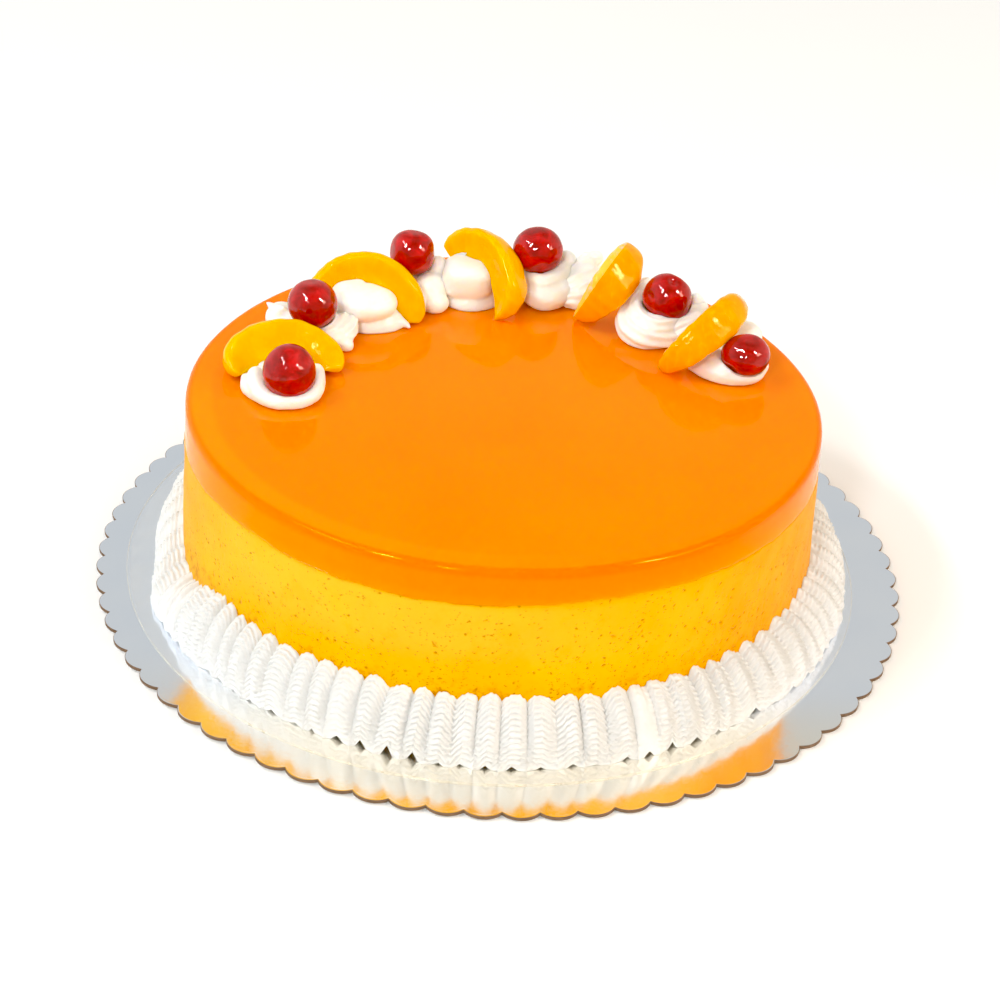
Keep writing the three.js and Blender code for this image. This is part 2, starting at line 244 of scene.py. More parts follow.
# ------------------------------------------------------------------ camera
cam_data = bpy.data.cameras.new("camera")
cam_data.lens = 79.2
cam_data.sensor_width = 36.0
cam_data.sensor_fit = "HORIZONTAL"
cam_data.clip_start = 0.01
cam_data.clip_end = 50.0
cam = bpy.data.objects.new("camera", cam_data)
bpy.context.scene.collection.objects.link(cam)
cam.matrix_world = Matrix((
    (0.99813, -0.06106, 0.0, -1.28 * MM),
    (0.03242, 0.52995, -0.84741, -728.0 * MM),
    (0.05174, 0.84583, 0.53094, 484.8 * MM),
    (0.0, 0.0, 0.0, 1.0),
))
bpy.context.scene.camera = cam


# ------------------------------------------------------------------ materials
class Nodes:
    """A material with one Principled shader, and short ways to add nodes to it."""

    def __init__(self, name):
        self.m = bpy.data.materials.new(name)
        self.m.use_nodes = True
        self.t = self.m.node_tree
        self.t.nodes.clear()
        self.out = self.t.nodes.new("ShaderNodeOutputMaterial")
        self.p = self.t.nodes.new("ShaderNodeBsdfPrincipled")
        self.t.links.new(self.p.outputs[0], self.out.inputs["Surface"])
        self._co = None

    def co(self):
        if self._co is None:
            self._co = self.t.nodes.new("ShaderNodeTexCoord").outputs["Object"]
        return self._co

    def link(self, a, b):
        self.t.links.new(a, b)

    def put(self, socket, value):
        if isinstance(value, bpy.types.NodeSocket):
            self.t.links.new(value, socket)
        else:
            socket.default_value = value

    def math(self, op, a, b=0.0, c=None, clamp=False):
        n = self.t.nodes.new("ShaderNodeMath")
        n.operation = op
        n.use_clamp = clamp
        self.put(n.inputs[0], a)
        self.put(n.inputs[1], b)
        if c is not None:
            self.put(n.inputs[2], c)
        return n.outputs[0]

    def vec(self, op, a, b=(0, 0, 0)):
        n = self.t.nodes.new("ShaderNodeVectorMath")
        n.operation = op
        self.put(n.inputs[0], a)
        self.put(n.inputs[1], b)
        return n.outputs["Value"] if op in ("LENGTH", "DISTANCE", "DOT_PRODUCT") else n.outputs[0]

    def scaled(self, s, move=(0, 0, 0)):
        n = self.t.nodes.new("ShaderNodeMapping")
        self.link(self.co(), n.inputs["Vector"])
        n.inputs["Scale"].default_value = s if isinstance(s, tuple) else (s, s, s)
        n.inputs["Location"].default_value = move
        return n.outputs[0]

    def xyz(self):
        n = self.t.nodes.new("ShaderNodeSeparateXYZ")
        self.link(self.co(), n.inputs[0])
        return n.outputs

    def noise(self, scale, detail=2.0, rough=0.5, vector=None, distort=0.0):
        n = self.t.nodes.new("ShaderNodeTexNoise")
        self.link(self.co() if vector is None else vector, n.inputs["Vector"])
        n.inputs["Scale"].default_value = scale
        n.inputs["Detail"].default_value = detail
        n.inputs["Roughness"].default_value = rough
        n.inputs["Distortion"].default_value = distort
        return n.outputs["Fac"]

    def noise_colour(self, scale):
        n = self.t.nodes.new("ShaderNodeTexNoise")
        self.link(self.co(), n.inputs["Vector"])
        n.inputs["Scale"].default_value = scale
        n.inputs["Detail"].default_value = 1.0
        return n.outputs["Color"]

    def cells(self, scale, feature="F1", vector=None, random=1.0, out="Distance"):
        n = self.t.nodes.new("ShaderNodeTexVoronoi")
        n.feature = feature
        self.link(self.co() if vector is None else vector, n.inputs["Vector"])
        n.inputs["Scale"].default_value = scale
        n.inputs["Randomness"].default_value = random
        return n.outputs[out]

    def ranged(self, value, a, b, c=0.0, d=1.0, smooth=True):
        n = self.t.nodes.new("ShaderNodeMapRange")
        n.interpolation_type = "SMOOTHSTEP" if smooth else "LINEAR"
        n.clamp = True if not smooth else n.clamp
        self.put(n.inputs["Value"], value)
        n.inputs["From Min"].default_value = a
        n.inputs["From Max"].default_value = b
        n.inputs["To Min"].default_value = c
        n.inputs["To Max"].default_value = d
        return n.outputs["Result"]

    def ramp(self, value, stops, mode="LINEAR"):
        n = self.t.nodes.new("ShaderNodeValToRGB")
        n.color_ramp.interpolation = mode
        e = n.color_ramp.elements
        while len(e) < len(stops):
            e.new(0.5)
        for k, (at, col) in enumerate(stops):
            e[k].position = at
            e[k].color = (*col, 1.0)
        self.put(n.inputs[0], value)
        return n.outputs["Color"]

    def mix(self, fac, a, b, blend="MIX"):
        n = self.t.nodes.new("ShaderNodeMix")
        n.data_type = "RGBA"
        n.blend_type = blend
        self.put(n.inputs[0], fac)
        self.put(n.inputs[6], (*a, 1.0) if isinstance(a, tuple) else a)
        self.put(n.inputs[7], (*b, 1.0) if isinstance(b, tuple) else b)
        return n.outputs[2]

    def bump(self, height, strength=0.5, distance=0.0005, normal=None):
        n = self.t.nodes.new("ShaderNodeBump")
        n.inputs["Strength"].default_value = strength
        n.inputs["Distance"].default_value = distance
        self.put(n.inputs["Height"], height)
        if normal is not None:
            self.link(normal, n.inputs["Normal"])
        return n.outputs[0]

    def set(self, **kw):
        for k, v in kw.items():
            self.put(self.p.inputs[k.replace("_", " ")], v)
        return self

    def sss(self, weight, radius_mm):
        self.p.inputs["Subsurface Weight"].default_value = weight
        self.p.inputs["Subsurface Radius"].default_value = tuple(r * MM for r in radius_mm)
        self.p.inputs["Subsurface Scale"].default_value = 1.0


def foil_material():
    n = Nodes("silver_foil")
    broad = n.noise(28.0, 2.0)
    fine = n.noise(900.0, 3.0, 0.6)
    x, y, z = n.xyz()
    tone = n.ramp(broad, [(0.3, (0.80, 0.865, 0.975)), (0.7, (0.845, 0.90, 0.99))])
    # Painted reflection: warmer at the front, where it faces the cake, standing in for the cake's warm colour seen in
    # the foil.
    tone = n.mix(n.math("MULTIPLY", n.ranged(y, -0.07, -0.115), n.ranged(x, -0.12, -0.05, 0.35, 1.0)), tone, (0.855, 0.835, 0.775))
    n.put(n.p.inputs["Base Color"], tone)
    n.set(Metallic=1.0)
    n.put(n.p.inputs["Roughness"], n.ranged(fine, 0.3, 0.7, 0.10, 0.16))
    h = n.math("MULTIPLY_ADD", broad, 1.0, n.math("MULTIPLY", fine, 0.02))
    h = n.math("MULTIPLY_ADD", n.noise(95.0, 2.0, 0.5), 0.28, h)
    n.put(n.p.inputs["Normal"], n.bump(h, 0.25, 0.0006))
    return n.m


def board_material():
    n = Nodes("brown_board")
    z = n.xyz()[2]
    layers = n.noise(1.0, 3.0, 0.6, n.scaled((300.0, 300.0, 5000.0)))
    n.put(n.p.inputs["Base Color"], n.ramp(layers, [(0.3, (0.10, 0.055, 0.035)), (0.7, (0.26, 0.16, 0.10))]))
    n.set(Roughness=0.85)
    n.put(n.p.inputs["Normal"], n.bump(layers, 0.5, 0.0002))
    return n.m


def paper_material():
    n = Nodes("card_paper")
    f = n.noise(600.0, 4.0, 0.65)
    n.put(n.p.inputs["Base Color"], n.ramp(f, [(0.3, (0.62, 0.60, 0.57)), (0.7, (0.70, 0.68, 0.65))]))
    n.set(Roughness=0.8)
    n.put(n.p.inputs["Normal"], n.bump(f, 0.3, 0.0002))
    return n.m


def disc_material(name="clear_sheet", alpha=(0.02, 0.04), tone=(0.86, 0.90, 0.93)):
    n = Nodes(name)
    f = n.noise(160.0, 2.0)
    n.put(n.p.inputs["Base Color"], n.ramp(f, [(0.3, tone), (0.7, tuple(min(1.0, t * 1.04) for t in tone))]))
    n.put(n.p.inputs["Alpha"], n.ranged(f, 0.3, 0.7, *alpha))
    n.put(n.p.inputs["Roughness"], n.ranged(f, 0.3, 0.7, 0.03, 0.06))
    n.put(n.p.inputs["Normal"], n.bump(f, 0.08, 0.0002))
    return n.m


def mousse_material():
    n = Nodes("yellow_mousse")
    x, y, z = n.xyz()
    low = n.ranged(z, 0.060, 0.015)
    broad = n.noise(45.0, 3.0, 0.6)
    # Painted shade: a little deeper and darker towards the foot.
    base = n.ramp(low, [(0.0, (0.87, 0.445, 0.002)), (1.0, (0.86, 0.385, 0.002))])
    # Painted light and shade: paler and whiter towards the left and the front, standing in for sheen there, and deeper
    # and darker to the right, standing in for shade.
    painted_sheen = n.math("MULTIPLY", n.ranged(x, 0.09, -0.02), n.ranged(z, 0.030, 0.048))
    base = n.mix(n.ranged(x, 0.03, 0.11), base, (0.82, 0.295, 0.0006))
    base = n.mix(painted_sheen, base, (0.84, 0.342, 0.005))
    base = n.mix(n.math("MULTIPLY", painted_sheen, n.ranged(y, -0.03, -0.10)), base, (0.86, 0.462, 0.026))
    base = n.mix(n.ranged(broad, 0.38, 0.7, 0.0, 0.30), base, (0.88, 0.53, 0.020))
    base = n.mix(n.ranged(n.noise(95.0, 3.0, 0.65), 0.50, 0.72, 0.0, 0.40), base, (0.84, 0.38, 0.004))
    base = n.mix(n.ranged(n.math("MULTIPLY_ADD", broad, 0.0016, z), 0.0600, 0.0634, 0.0, 0.5), base, (0.88, 0.33, 0.001))
    # Small open bubbles, thicker towards the foot and in drifts.
    sparse = n.noise(70.0, 2.0, 0.5)
    dens = n.math("ADD", n.math("MULTIPLY", low, 0.30), n.math("MULTIPLY", sparse, 0.85))
    pits = []
    for scale, size, move, keep in ((360.0, 0.30, (0, 0, 0), 0.34), (210.0, 0.22, (3.1, 1.7, 0.4), 0.48),
                                    (800.0, 0.32, (7.3, 2.9, 5.1), 0.28)):
        v = n.t.nodes.new("ShaderNodeTexVoronoi")
        warp = n.vec("ADD", n.scaled((scale, scale, scale * 1.15), move),
                     n.vec("SCALE", n.noise_colour(scale * 0.9)))
        n.link(warp, v.inputs["Vector"])
        v.inputs["Scale"].default_value = 1.0
        pick = n.math("SUBTRACT", 1.05, n.vec("LENGTH", v.outputs["Color"]))
        pick = n.math("MULTIPLY_ADD", dens, 1.0, pick)
        here = n.ranged(pick, keep + 0.28, keep + 0.40)
        dip = n.ranged(v.outputs["Distance"], size, size * 0.25)
        pits.append(n.math("MULTIPLY", here, dip))
    pit = n.math("MAXIMUM", n.math("MAXIMUM", pits[0], pits[1]), pits[2])
    grain = n.noise(900.0, 4.0, 0.6)
    base = n.mix(n.ranged(grain, 0.3, 0.75, 0.0, 0.16), base, (0.90, 0.42, 0.008))
    # Painted shade: the bubble pits are darkened in colour as well as dented.
    base = n.mix(n.math("MULTIPLY", pit, 0.8), base, (0.55, 0.195, 0.003))
    # Painted shade: patchy darker brown low on the wall, up to just above the cream border.
    foot_shade_patches = n.noise(210.0, 3.0, 0.65)
    foot = n.math("MULTIPLY", n.ranged(z, 0.033, 0.024), n.ranged(foot_shade_patches, 0.48, 0.66))
    base = n.mix(n.math("MULTIPLY", foot, 0.8), base, (0.60, 0.21, 0.002))
    n.put(n.p.inputs["Base Color"], base)
    n.set(Roughness=0.5, Specular_IOR_Level=0.16, Specular_Tint=(1.0, 0.8, 0.2, 1.0))
    n.sss(0.25, (3.0, 1.6, 0.3))
    h = n.math("MULTIPLY_ADD", pit, -1.0, n.math("MULTIPLY", grain, 0.16))
    n.put(n.p.inputs["Normal"], n.bump(h, 0.7, 0.0005))
    return n.m


def jelly_material():
    n = Nodes("orange_jelly")
    x, y, z = n.xyz()
    broad = n.noise(14.0, 2.0, 0.5)
    col = n.ramp(broad, [(0.3, (0.88, 0.218, 0.0003)), (0.7, (0.90, 0.243, 0.0003))])
    # Painted light and shade, by radius from the cake's axis: deeper colour along the round rim and on the right-hand
    # wall, lighter just inside the rim at the front left and towards the foot.
    ax = n.math("ADD", x, -CAKE_X * MM)
    r = n.math("SQRT", n.math("ADD", n.math("MULTIPLY", ax, ax), n.math("MULTIPLY", y, y)))
    front = n.ranged(n.math("MULTIPLY_ADD", ax, 0.5, y), 0.0, -0.08)
    # Painted light: a lighter band just inside the rim, at the front and left.
    painted_light_band = n.math("MULTIPLY", n.ranged(r, 0.1085, 0.112), n.ranged(r, 0.1185, 0.1165))
    painted_light_band = n.math("MULTIPLY", painted_light_band, n.math("MULTIPLY", front, n.ranged(z, 0.0745, 0.0757)))
    painted_light_band = n.math("MULTIPLY", painted_light_band, n.ranged(ax, 0.06, -0.07))
    col = n.mix(n.math("MULTIPLY", painted_light_band, 0.7), col, (0.92, 0.285, 0.0003))
    # Painted shade: the wall darker towards the right.
    right = n.ranged(ax, -0.02, 0.08)
    painted_shade_wall = n.math("MULTIPLY", n.ranged(r, 0.1172, 0.1190), n.ranged(z, 0.0635, 0.0725))
    col = n.mix(n.math("MULTIPLY", painted_shade_wall, n.math("MULTIPLY_ADD", right, 0.40, 0.0)), col, (0.87, 0.150, 0.0003))
    # Painted shade: a darker line along the rounded rim.
    rim = n.math("MULTIPLY", n.ranged(r, 0.1172, 0.1190), n.ranged(z, 0.0716, 0.0742))
    col = n.mix(n.math("MULTIPLY", rim, 0.50), col, (0.86, 0.135, 0.0003))
    # Painted light: the wall lighter towards its foot.
    foot = n.ranged(z, 0.0665, 0.0625)
    col = n.mix(n.math("MULTIPLY", foot, 0.45), col, (0.91, 0.29, 0.0003))
    n.put(n.p.inputs["Base Color"], col)
    n.sss(0.85, (7.0, 3.2, 0.4))
    n.set(Roughness=0.09, IOR=1.36, Specular_Tint=(1.0, 0.75, 0.06, 1.0))
    n.put(n.p.inputs["Specular IOR Level"], n.ranged(z, 0.0735, 0.0757, 0.13, 0.34))
    n.put(n.p.inputs["Normal"], n.bump(n.noise(60.0, 1.0), 0.03, 0.0005))
    return n.m


def cream_material(name="whipped_cream", strength=0.35, weight=0.25, radius=(0.9, 0.8, 0.7), warm=0.0,
                   tone=0.71):
    n = Nodes(name)
    f = n.noise(260.0, 3.0, 0.6)
    g = n.noise(1500.0, 2.0, 0.5)
    n.put(n.p.inputs["Base Color"], n.ramp(f, [(0.3, (tone, tone * 0.992, tone * (0.968 - warm))),
                         (0.7, (tone + 0.03, (tone + 0.03) * 0.995, (tone + 0.03) * (0.975 - warm)))]))
    n.sss(weight, radius)
    n.set(Roughness=0.42, Specular_IOR_Level=0.35)
    h = n.math("MULTIPLY_ADD", g, 0.18, f)
    n.put(n.p.inputs["Normal"], n.bump(h, strength, 0.00025))
    return n.m


def cherry_material():
    n = Nodes("glazed_cherry")
    f = n.noise(190.0, 3.0, 0.6, distort=0.6)
    g = n.noise(120.0, 2.0, 0.55)
    col = n.ramp(f, [(0.25, (0.20, 0.0008, 0.003)), (0.5, (0.39, 0.0012, 0.006)), (0.75, (0.60, 0.005, 0.013))])
    n.put(n.p.inputs["Base Color"], col)
    n.sss(0.8, (5.0, 0.7, 0.6))
    n.set(Roughness=0.02, IOR=1.42, Specular_IOR_Level=0.85, Specular_Tint=(1.0, 0.62, 0.65, 1.0))
    h = n.math("MULTIPLY_ADD", f, 0.5, g)
    n.put(n.p.inputs["Normal"], n.bump(h, 0.22, 0.0007))
    return n.m


def peach_material(name="syrupy_peach", low=(0.88, 0.375, 0.0006), high=(0.92, 0.46, 0.001), grain_at=None):
    n = Nodes(name)
    fib = n.noise(1.0, 3.0, 0.6, n.scaled((420.0, 420.0, 90.0)))
    f = n.noise(120.0, 3.0, 0.6)
    col = n.ramp(f, [(0.25, low), (0.75, high)])
    col = n.mix(n.ranged(fib, 0.5, 0.75, 0.0, 0.35), col, (0.95, 0.56, high[2] * 12))
    n.put(n.p.inputs["Base Color"], col)
    n.sss(0.85, (7.0, 4.5, 0.6))
    n.set(Roughness=0.13, IOR=1.40, Specular_IOR_Level=0.26, Specular_Tint=(1.0, 0.8, 0.3, 1.0))
    fine = n.noise(700.0, 3.0, 0.6)
    h = n.math("MULTIPLY_ADD", fib, 0.5, n.math("MULTIPLY_ADD", fine, 0.35, f))
    if grain_at:
        # One end came out torn and grainy, wet with syrup.
        near = n.ranged(n.vec("DISTANCE", n.co(), grain_at), 0.016, 0.007)
        rough = n.noise(1100.0, 2.0, 0.7, distort=0.8)
        h = n.math("MULTIPLY_ADD", n.math("MULTIPLY", near, rough), 3.2, h)
    n.put(n.p.inputs["Normal"], n.bump(h, 0.3, 0.0006))
    return n.m


def floor_material():
    n = Nodes("pale_floor")
    f = n.noise(3.0, 2.0)
    n.put(n.p.inputs["Base Color"], n.ramp(f, [(0.3, (0.965, 0.965, 0.965)), (0.7, (0.975, 0.975, 0.975))]))
    n.set(Roughness=0.9, Specular_IOR_Level=0.0)
    return n.m


FOIL = foil_material()
BOARD = board_material()
PAPER = paper_material()
CLEAR = disc_material("clear_sheet", (0.03, 0.05), (0.92, 0.85, 0.72))
# The sheet's rim is tinted gold and made more opaque: a painted reflection of the golden mousse wall.
SHEET_RIM_PAINTED_REFLECTION = disc_material("clear_sheet_rim_painted_reflection", (0.22, 0.38), (0.78, 0.68, 0.48))
MOUSSE = mousse_material()
JELLY = jelly_material()
CREAM = cream_material()
SOFT_CREAM = cream_material("soft_cream", 0.22, 0.7, (3.2, 2.9, 1.8), 0.07, 0.93)
CHERRY = cherry_material()
PEACH = peach_material("syrupy_peach", (0.90, 0.415, 0.0006), (0.93, 0.485, 0.001), (-0.0745, 0.056, 0.0905))
PEACH_DEEP = peach_material("deep_peach", (0.88, 0.315, 0.0006), (0.92, 0.39, 0.001))
# Painted sheen: a paler peach colour for a cut side that catches the light at a grazing angle.
PEACH_SIDE_PAINTED_SHEEN = peach_material("peach_cut_side", (0.92, 0.50, 0.05), (0.95, 0.60, 0.10))


def finish_piece(ob, material, slot, *nodes):
    """Gives a piece its material, its place on the body, and the CAD nodes it stands for."""
    if material is not None:
        ob.data.materials.clear()
        ob.data.materials.append(material)
    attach(ob, "root")
    if nodes:
        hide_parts(*nodes)
    return ob


# ------------------------------------------------------------------ foil card
def card_outline(per=12):
    """Radius and angle of the scalloped edge."""
    step = 2 * math.pi / CARD_SCALLOPS
    half = CARD_CUSP_R * math.sin(step / 2)
    rise = CARD_TIP_R - CARD_CUSP_R * math.cos(step / 2)
    arc = (half * half + rise * rise) / (2 * rise)
    pts = []
    for i in range(CARD_SCALLOPS):
        mid = -math.pi / 2 + math.radians(CARD_TURN) + i * step
        cx = CARD_TIP_R - arc
        lim = math.asin(half / arc)
        for k in range(per):
            t = -lim + 2 * lim * k / per
            u = cx + arc * math.cos(t)
            v = arc * math.sin(t)
            pts.append((u * math.cos(mid) - v * math.sin(mid), u * math.sin(mid) + v * math.cos(mid)))
    return np.array(pts)


def inset(pts, d):
    """The closed outline moved inwards, with its notches rounded off as it goes."""
    r = np.hypot(pts[:, 0], pts[:, 1])
    a = np.arctan2(pts[:, 1], pts[:, 0])
    n = len(pts)
    if d > 0.3:
        k = np.fft.fftfreq(n, 1.0 / n)
        f = np.fft.fft(r) * np.exp(-((k * d / 620.0) ** 2))
        r = np.real(np.fft.ifft(f))
    r = r - d
    return np.stack([r * np.cos(a), r * np.sin(a)], -1)


def build_card():
    edge = card_outline()
    t = CARD_THICK
    rings = [(30.0, t), (90.0, t), (20.0, t), (16.0, t), (13.0, t), (10.5, t), (8.0, t), (6.0, t), (4.2, t), (1.4, t), (0.95, t + 0.005), (0.6, t + 0.015), (0.22, t + 0.0),
             (0.04, t - 0.06), (0.0, t - 0.13), (0.09, t - 0.17), (0.03, 0.68), (0.09, 0.16), (0.35, 0.0),
             (3.0, 0.0), (90.0, 0.0)]
    rows = []
    for k, (d, z) in enumerate(rings):
        if k == 0:
            p = edge * (30.0 / CARD_TIP_R)
        elif d > 20:
            p = inset(edge, 14.0)
            p = p * ((CARD_TIP_R - d) / np.hypot(p[:, 0], p[:, 1]))[:, None]
        else:
            p = inset(edge, d)
        rows.append(np.column_stack([p, np.full(len(p), z)]))
    # The thin card curls up a little along its rim, more at the sides than at the front.
    for p in rows:
        deg = np.degrees(np.arctan2(p[:, 1], p[:, 0])) % 360
        curl = np.interp(deg, [0, 60, 120, 180, 205, 235, 258, 282, 305, 335, 360],
                         [0.3, 0.3, 0.3, 0.3, 0.6, 0.6, 0.2, 0.08, 0.12, 0.3, 0.3])
        p[:, 2] += curl * (np.clip(np.hypot(p[:, 0], p[:, 1]) - 142.0, 0, None) / 14.0) ** 2
    n = len(edge)
    v = np.concatenate(rows + [np.array([[0, 0, t], [0, 0, 0.0]])])
    m = len(rows)
    quads = grid_faces(m, n, flip=True)
    j = np.arange(n)
    k = (j + 1) % n
    top = np.stack([np.full(n, m * n), j, k], -1)
    low = np.stack([np.full(n, m * n + 1), (m - 1) * n + k, (m - 1) * n + j], -1)
    ob = mesh_object("card", v, quads, np.concatenate([top, low]))
    ob.data.materials.append(FOIL)
    ob.data.materials.append(BOARD)
    ob.data.materials.append(PAPER)
    idx = np.zeros(len(ob.data.polygons), np.int32)
    row = np.repeat(np.arange(m - 1), n)
    idx[: len(row)] = np.where(row < 12, 0, np.where(row < 18, 1, 2))
    idx[len(row) + n:] = 2
    ob.data.polygons.foreach_set("material_index", idx)
    ob.data.update()
    return finish_piece(ob, None, "foil_card", "foil_card")


card = build_card()

# ------------------------------------------------------------------ clear disc
def build_disc():
    z0, z1 = Z_DISC, Z_DISC + DISC_THICK
    e = 0.12
    prof = [(0, z0 + 0.02), (60, z0 + 0.02), (DISC_R - 8, z0 + 0.02), (DISC_R - e, z0 + 0.02), (DISC_R, z0 + e),
            (DISC_R, z1 - e), (DISC_R - e, z1), (DISC_R - 8, z1), (60, z1), (0, z1)]
    ob = lathe("clear_sheet", prof, 360, (DISC_X, DISC_Y))
    ob.data.polygons.foreach_set("use_smooth", np.full(len(ob.data.polygons), False))
    ob.data.materials.append(CLEAR)
    ob.data.materials.append(SHEET_RIM_PAINTED_REFLECTION)
    # The rim faces take the painted golden reflection.
    rim = [1 if abs(p.normal.z) < 0.9 else 0 for p in ob.data.polygons]
    ob.data.polygons.foreach_set("material_index", rim)
    return finish_piece(ob, None, "clear_disc", "clear_disc")


build_disc()


# ------------------------------------------------------------------ mousse layer
def build_mousse():
    segs = 1200
    rows = 72
    prof = [(0, Z_CAKE), (60, Z_CAKE), (110, Z_CAKE)]
    for i in range(rows + 1):
        z = Z_CAKE + (Z_JELLY - Z_CAKE) * i / rows
        prof.append((wall_r(z), z))
    prof += [(CAKE_TOP_R - 1.5, Z_JELLY), (110, Z_JELLY), (60, Z_JELLY), (0, Z_JELLY)]
    pr = np.array(prof)[1:-1]

    def shift(r, z, a):
        wave = -jelly_depth(a) + JELLY_THICK - 0.3
        up = soft(z, Z_CAKE + 20, Z_JELLY)
        z2 = z + wave * up
        rr = np.radians(a)
        dent = 0.10 * np.sin(9 * rr + z * 0.05) + 0.08 * np.sin(23 * rr + z * 0.21) + 0.05 * np.sin(61 * rr - z * 0.4)
        on_wall = (np.abs(r - wall_r(z)) < 0.05) & (z > Z_CAKE + 0.5)
        # Uneven small dents where bubbles broke.
        cell = uneven(np.floor(a * 2.9) * 1.7 + np.floor(z * 1.05) * 31.3)
        hole = np.where(cell > 0.90, -0.28, 0.0) * (0.5 + 0.5 * uneven(np.floor(a * 1.3) + np.floor(z * 0.4) * 7.7))
        r2 = np.where(on_wall, r + dent - 0.06 + hole + WALL_FLARE * (z - z2), r)
        return r2, z2

    ob = lathe("mousse", prof, segs, shift=shift)
    return finish_piece(ob, MOUSSE, "mousse", "mousse_layer")


build_mousse()


# ------------------------------------------------------------------ jelly layer
def build_jelly():
    segs = 720
    rim = 2.3
    prof = [(0, Z_JELLY), (60, Z_JELLY), (100, Z_JELLY), (114, Z_JELLY), (wall_r(Z_JELLY) - 0.12, Z_JELLY),
            (wall_r(Z_JELLY), Z_JELLY + 0.15)]
    for i in range(1, 13):
        z = Z_JELLY + 0.35 + (Z_TOP - rim - Z_JELLY - 0.35) * i / 12
        prof.append((wall_r(z), z))
    for i in range(1, 13):
        t = math.radians(90 * i / 12)
        prof.append((CAKE_TOP_R - rim * (1 - math.cos(t)) + 0.09 * math.cos(t), Z_TOP - rim * (1 - math.sin(t))))
    for r in (116.5, 114, 108, 98, 84, 66, 44, 22, 0):
        prof.append((r, Z_TOP))

    def shift(r, z, a):
        wave = -jelly_depth(a) + JELLY_THICK
        down = 1 - soft(z, Z_JELLY, Z_JELLY + 10)
        edge = soft(r, 100, 118)
        z2 = z + wave * down * edge - 0.30 * (z < Z_JELLY + 0.01) * (1 - edge)
        rr = np.radians(a)
        out = 0.12 + 0.05 * np.sin(5 * rr + 1) + 0.04 * np.sin(13 * rr)
        near = soft(r, 112, 119)
        dip = -0.10 * soft(r, 116.5, 112) * soft(r, 60, 100) * (z > Z_TOP - 0.01)
        return r + out * near + WALL_FLARE * (z - z2) * near, z2 + dip

    ob = lathe("jelly", prof, segs, shift=shift)
    return finish_piece(ob, JELLY, "jelly", "jelly_layer")


build_jelly()


# ------------------------------------------------------------------ cream border
def border_reach(a):
    return (BORDER_R + swell(a, 3, 38, 4.6) + swell(a, 208, 11, 3.0)
            + swell(a, 197.5, 2.6, 3.4) - swell(a, 262, 50, 1.0))


def border_height(a):
    return BORDER_HEIGHT - swell(a, 200, 10, 9.0) - swell(a, 350, 16, 3.4)


def fold_centres():
    """Angles of the folds' middles all the way round."""
    front = list(FRONT_FOLDS)
    left = 360 - (front[-1] - front[0])
    n = round(left / 4.02)
    rest = [front[-1] + left * (i + 0.16 * float(uneven(i + 11))) / n for i in range(1, n)]
    return np.array(front + rest)


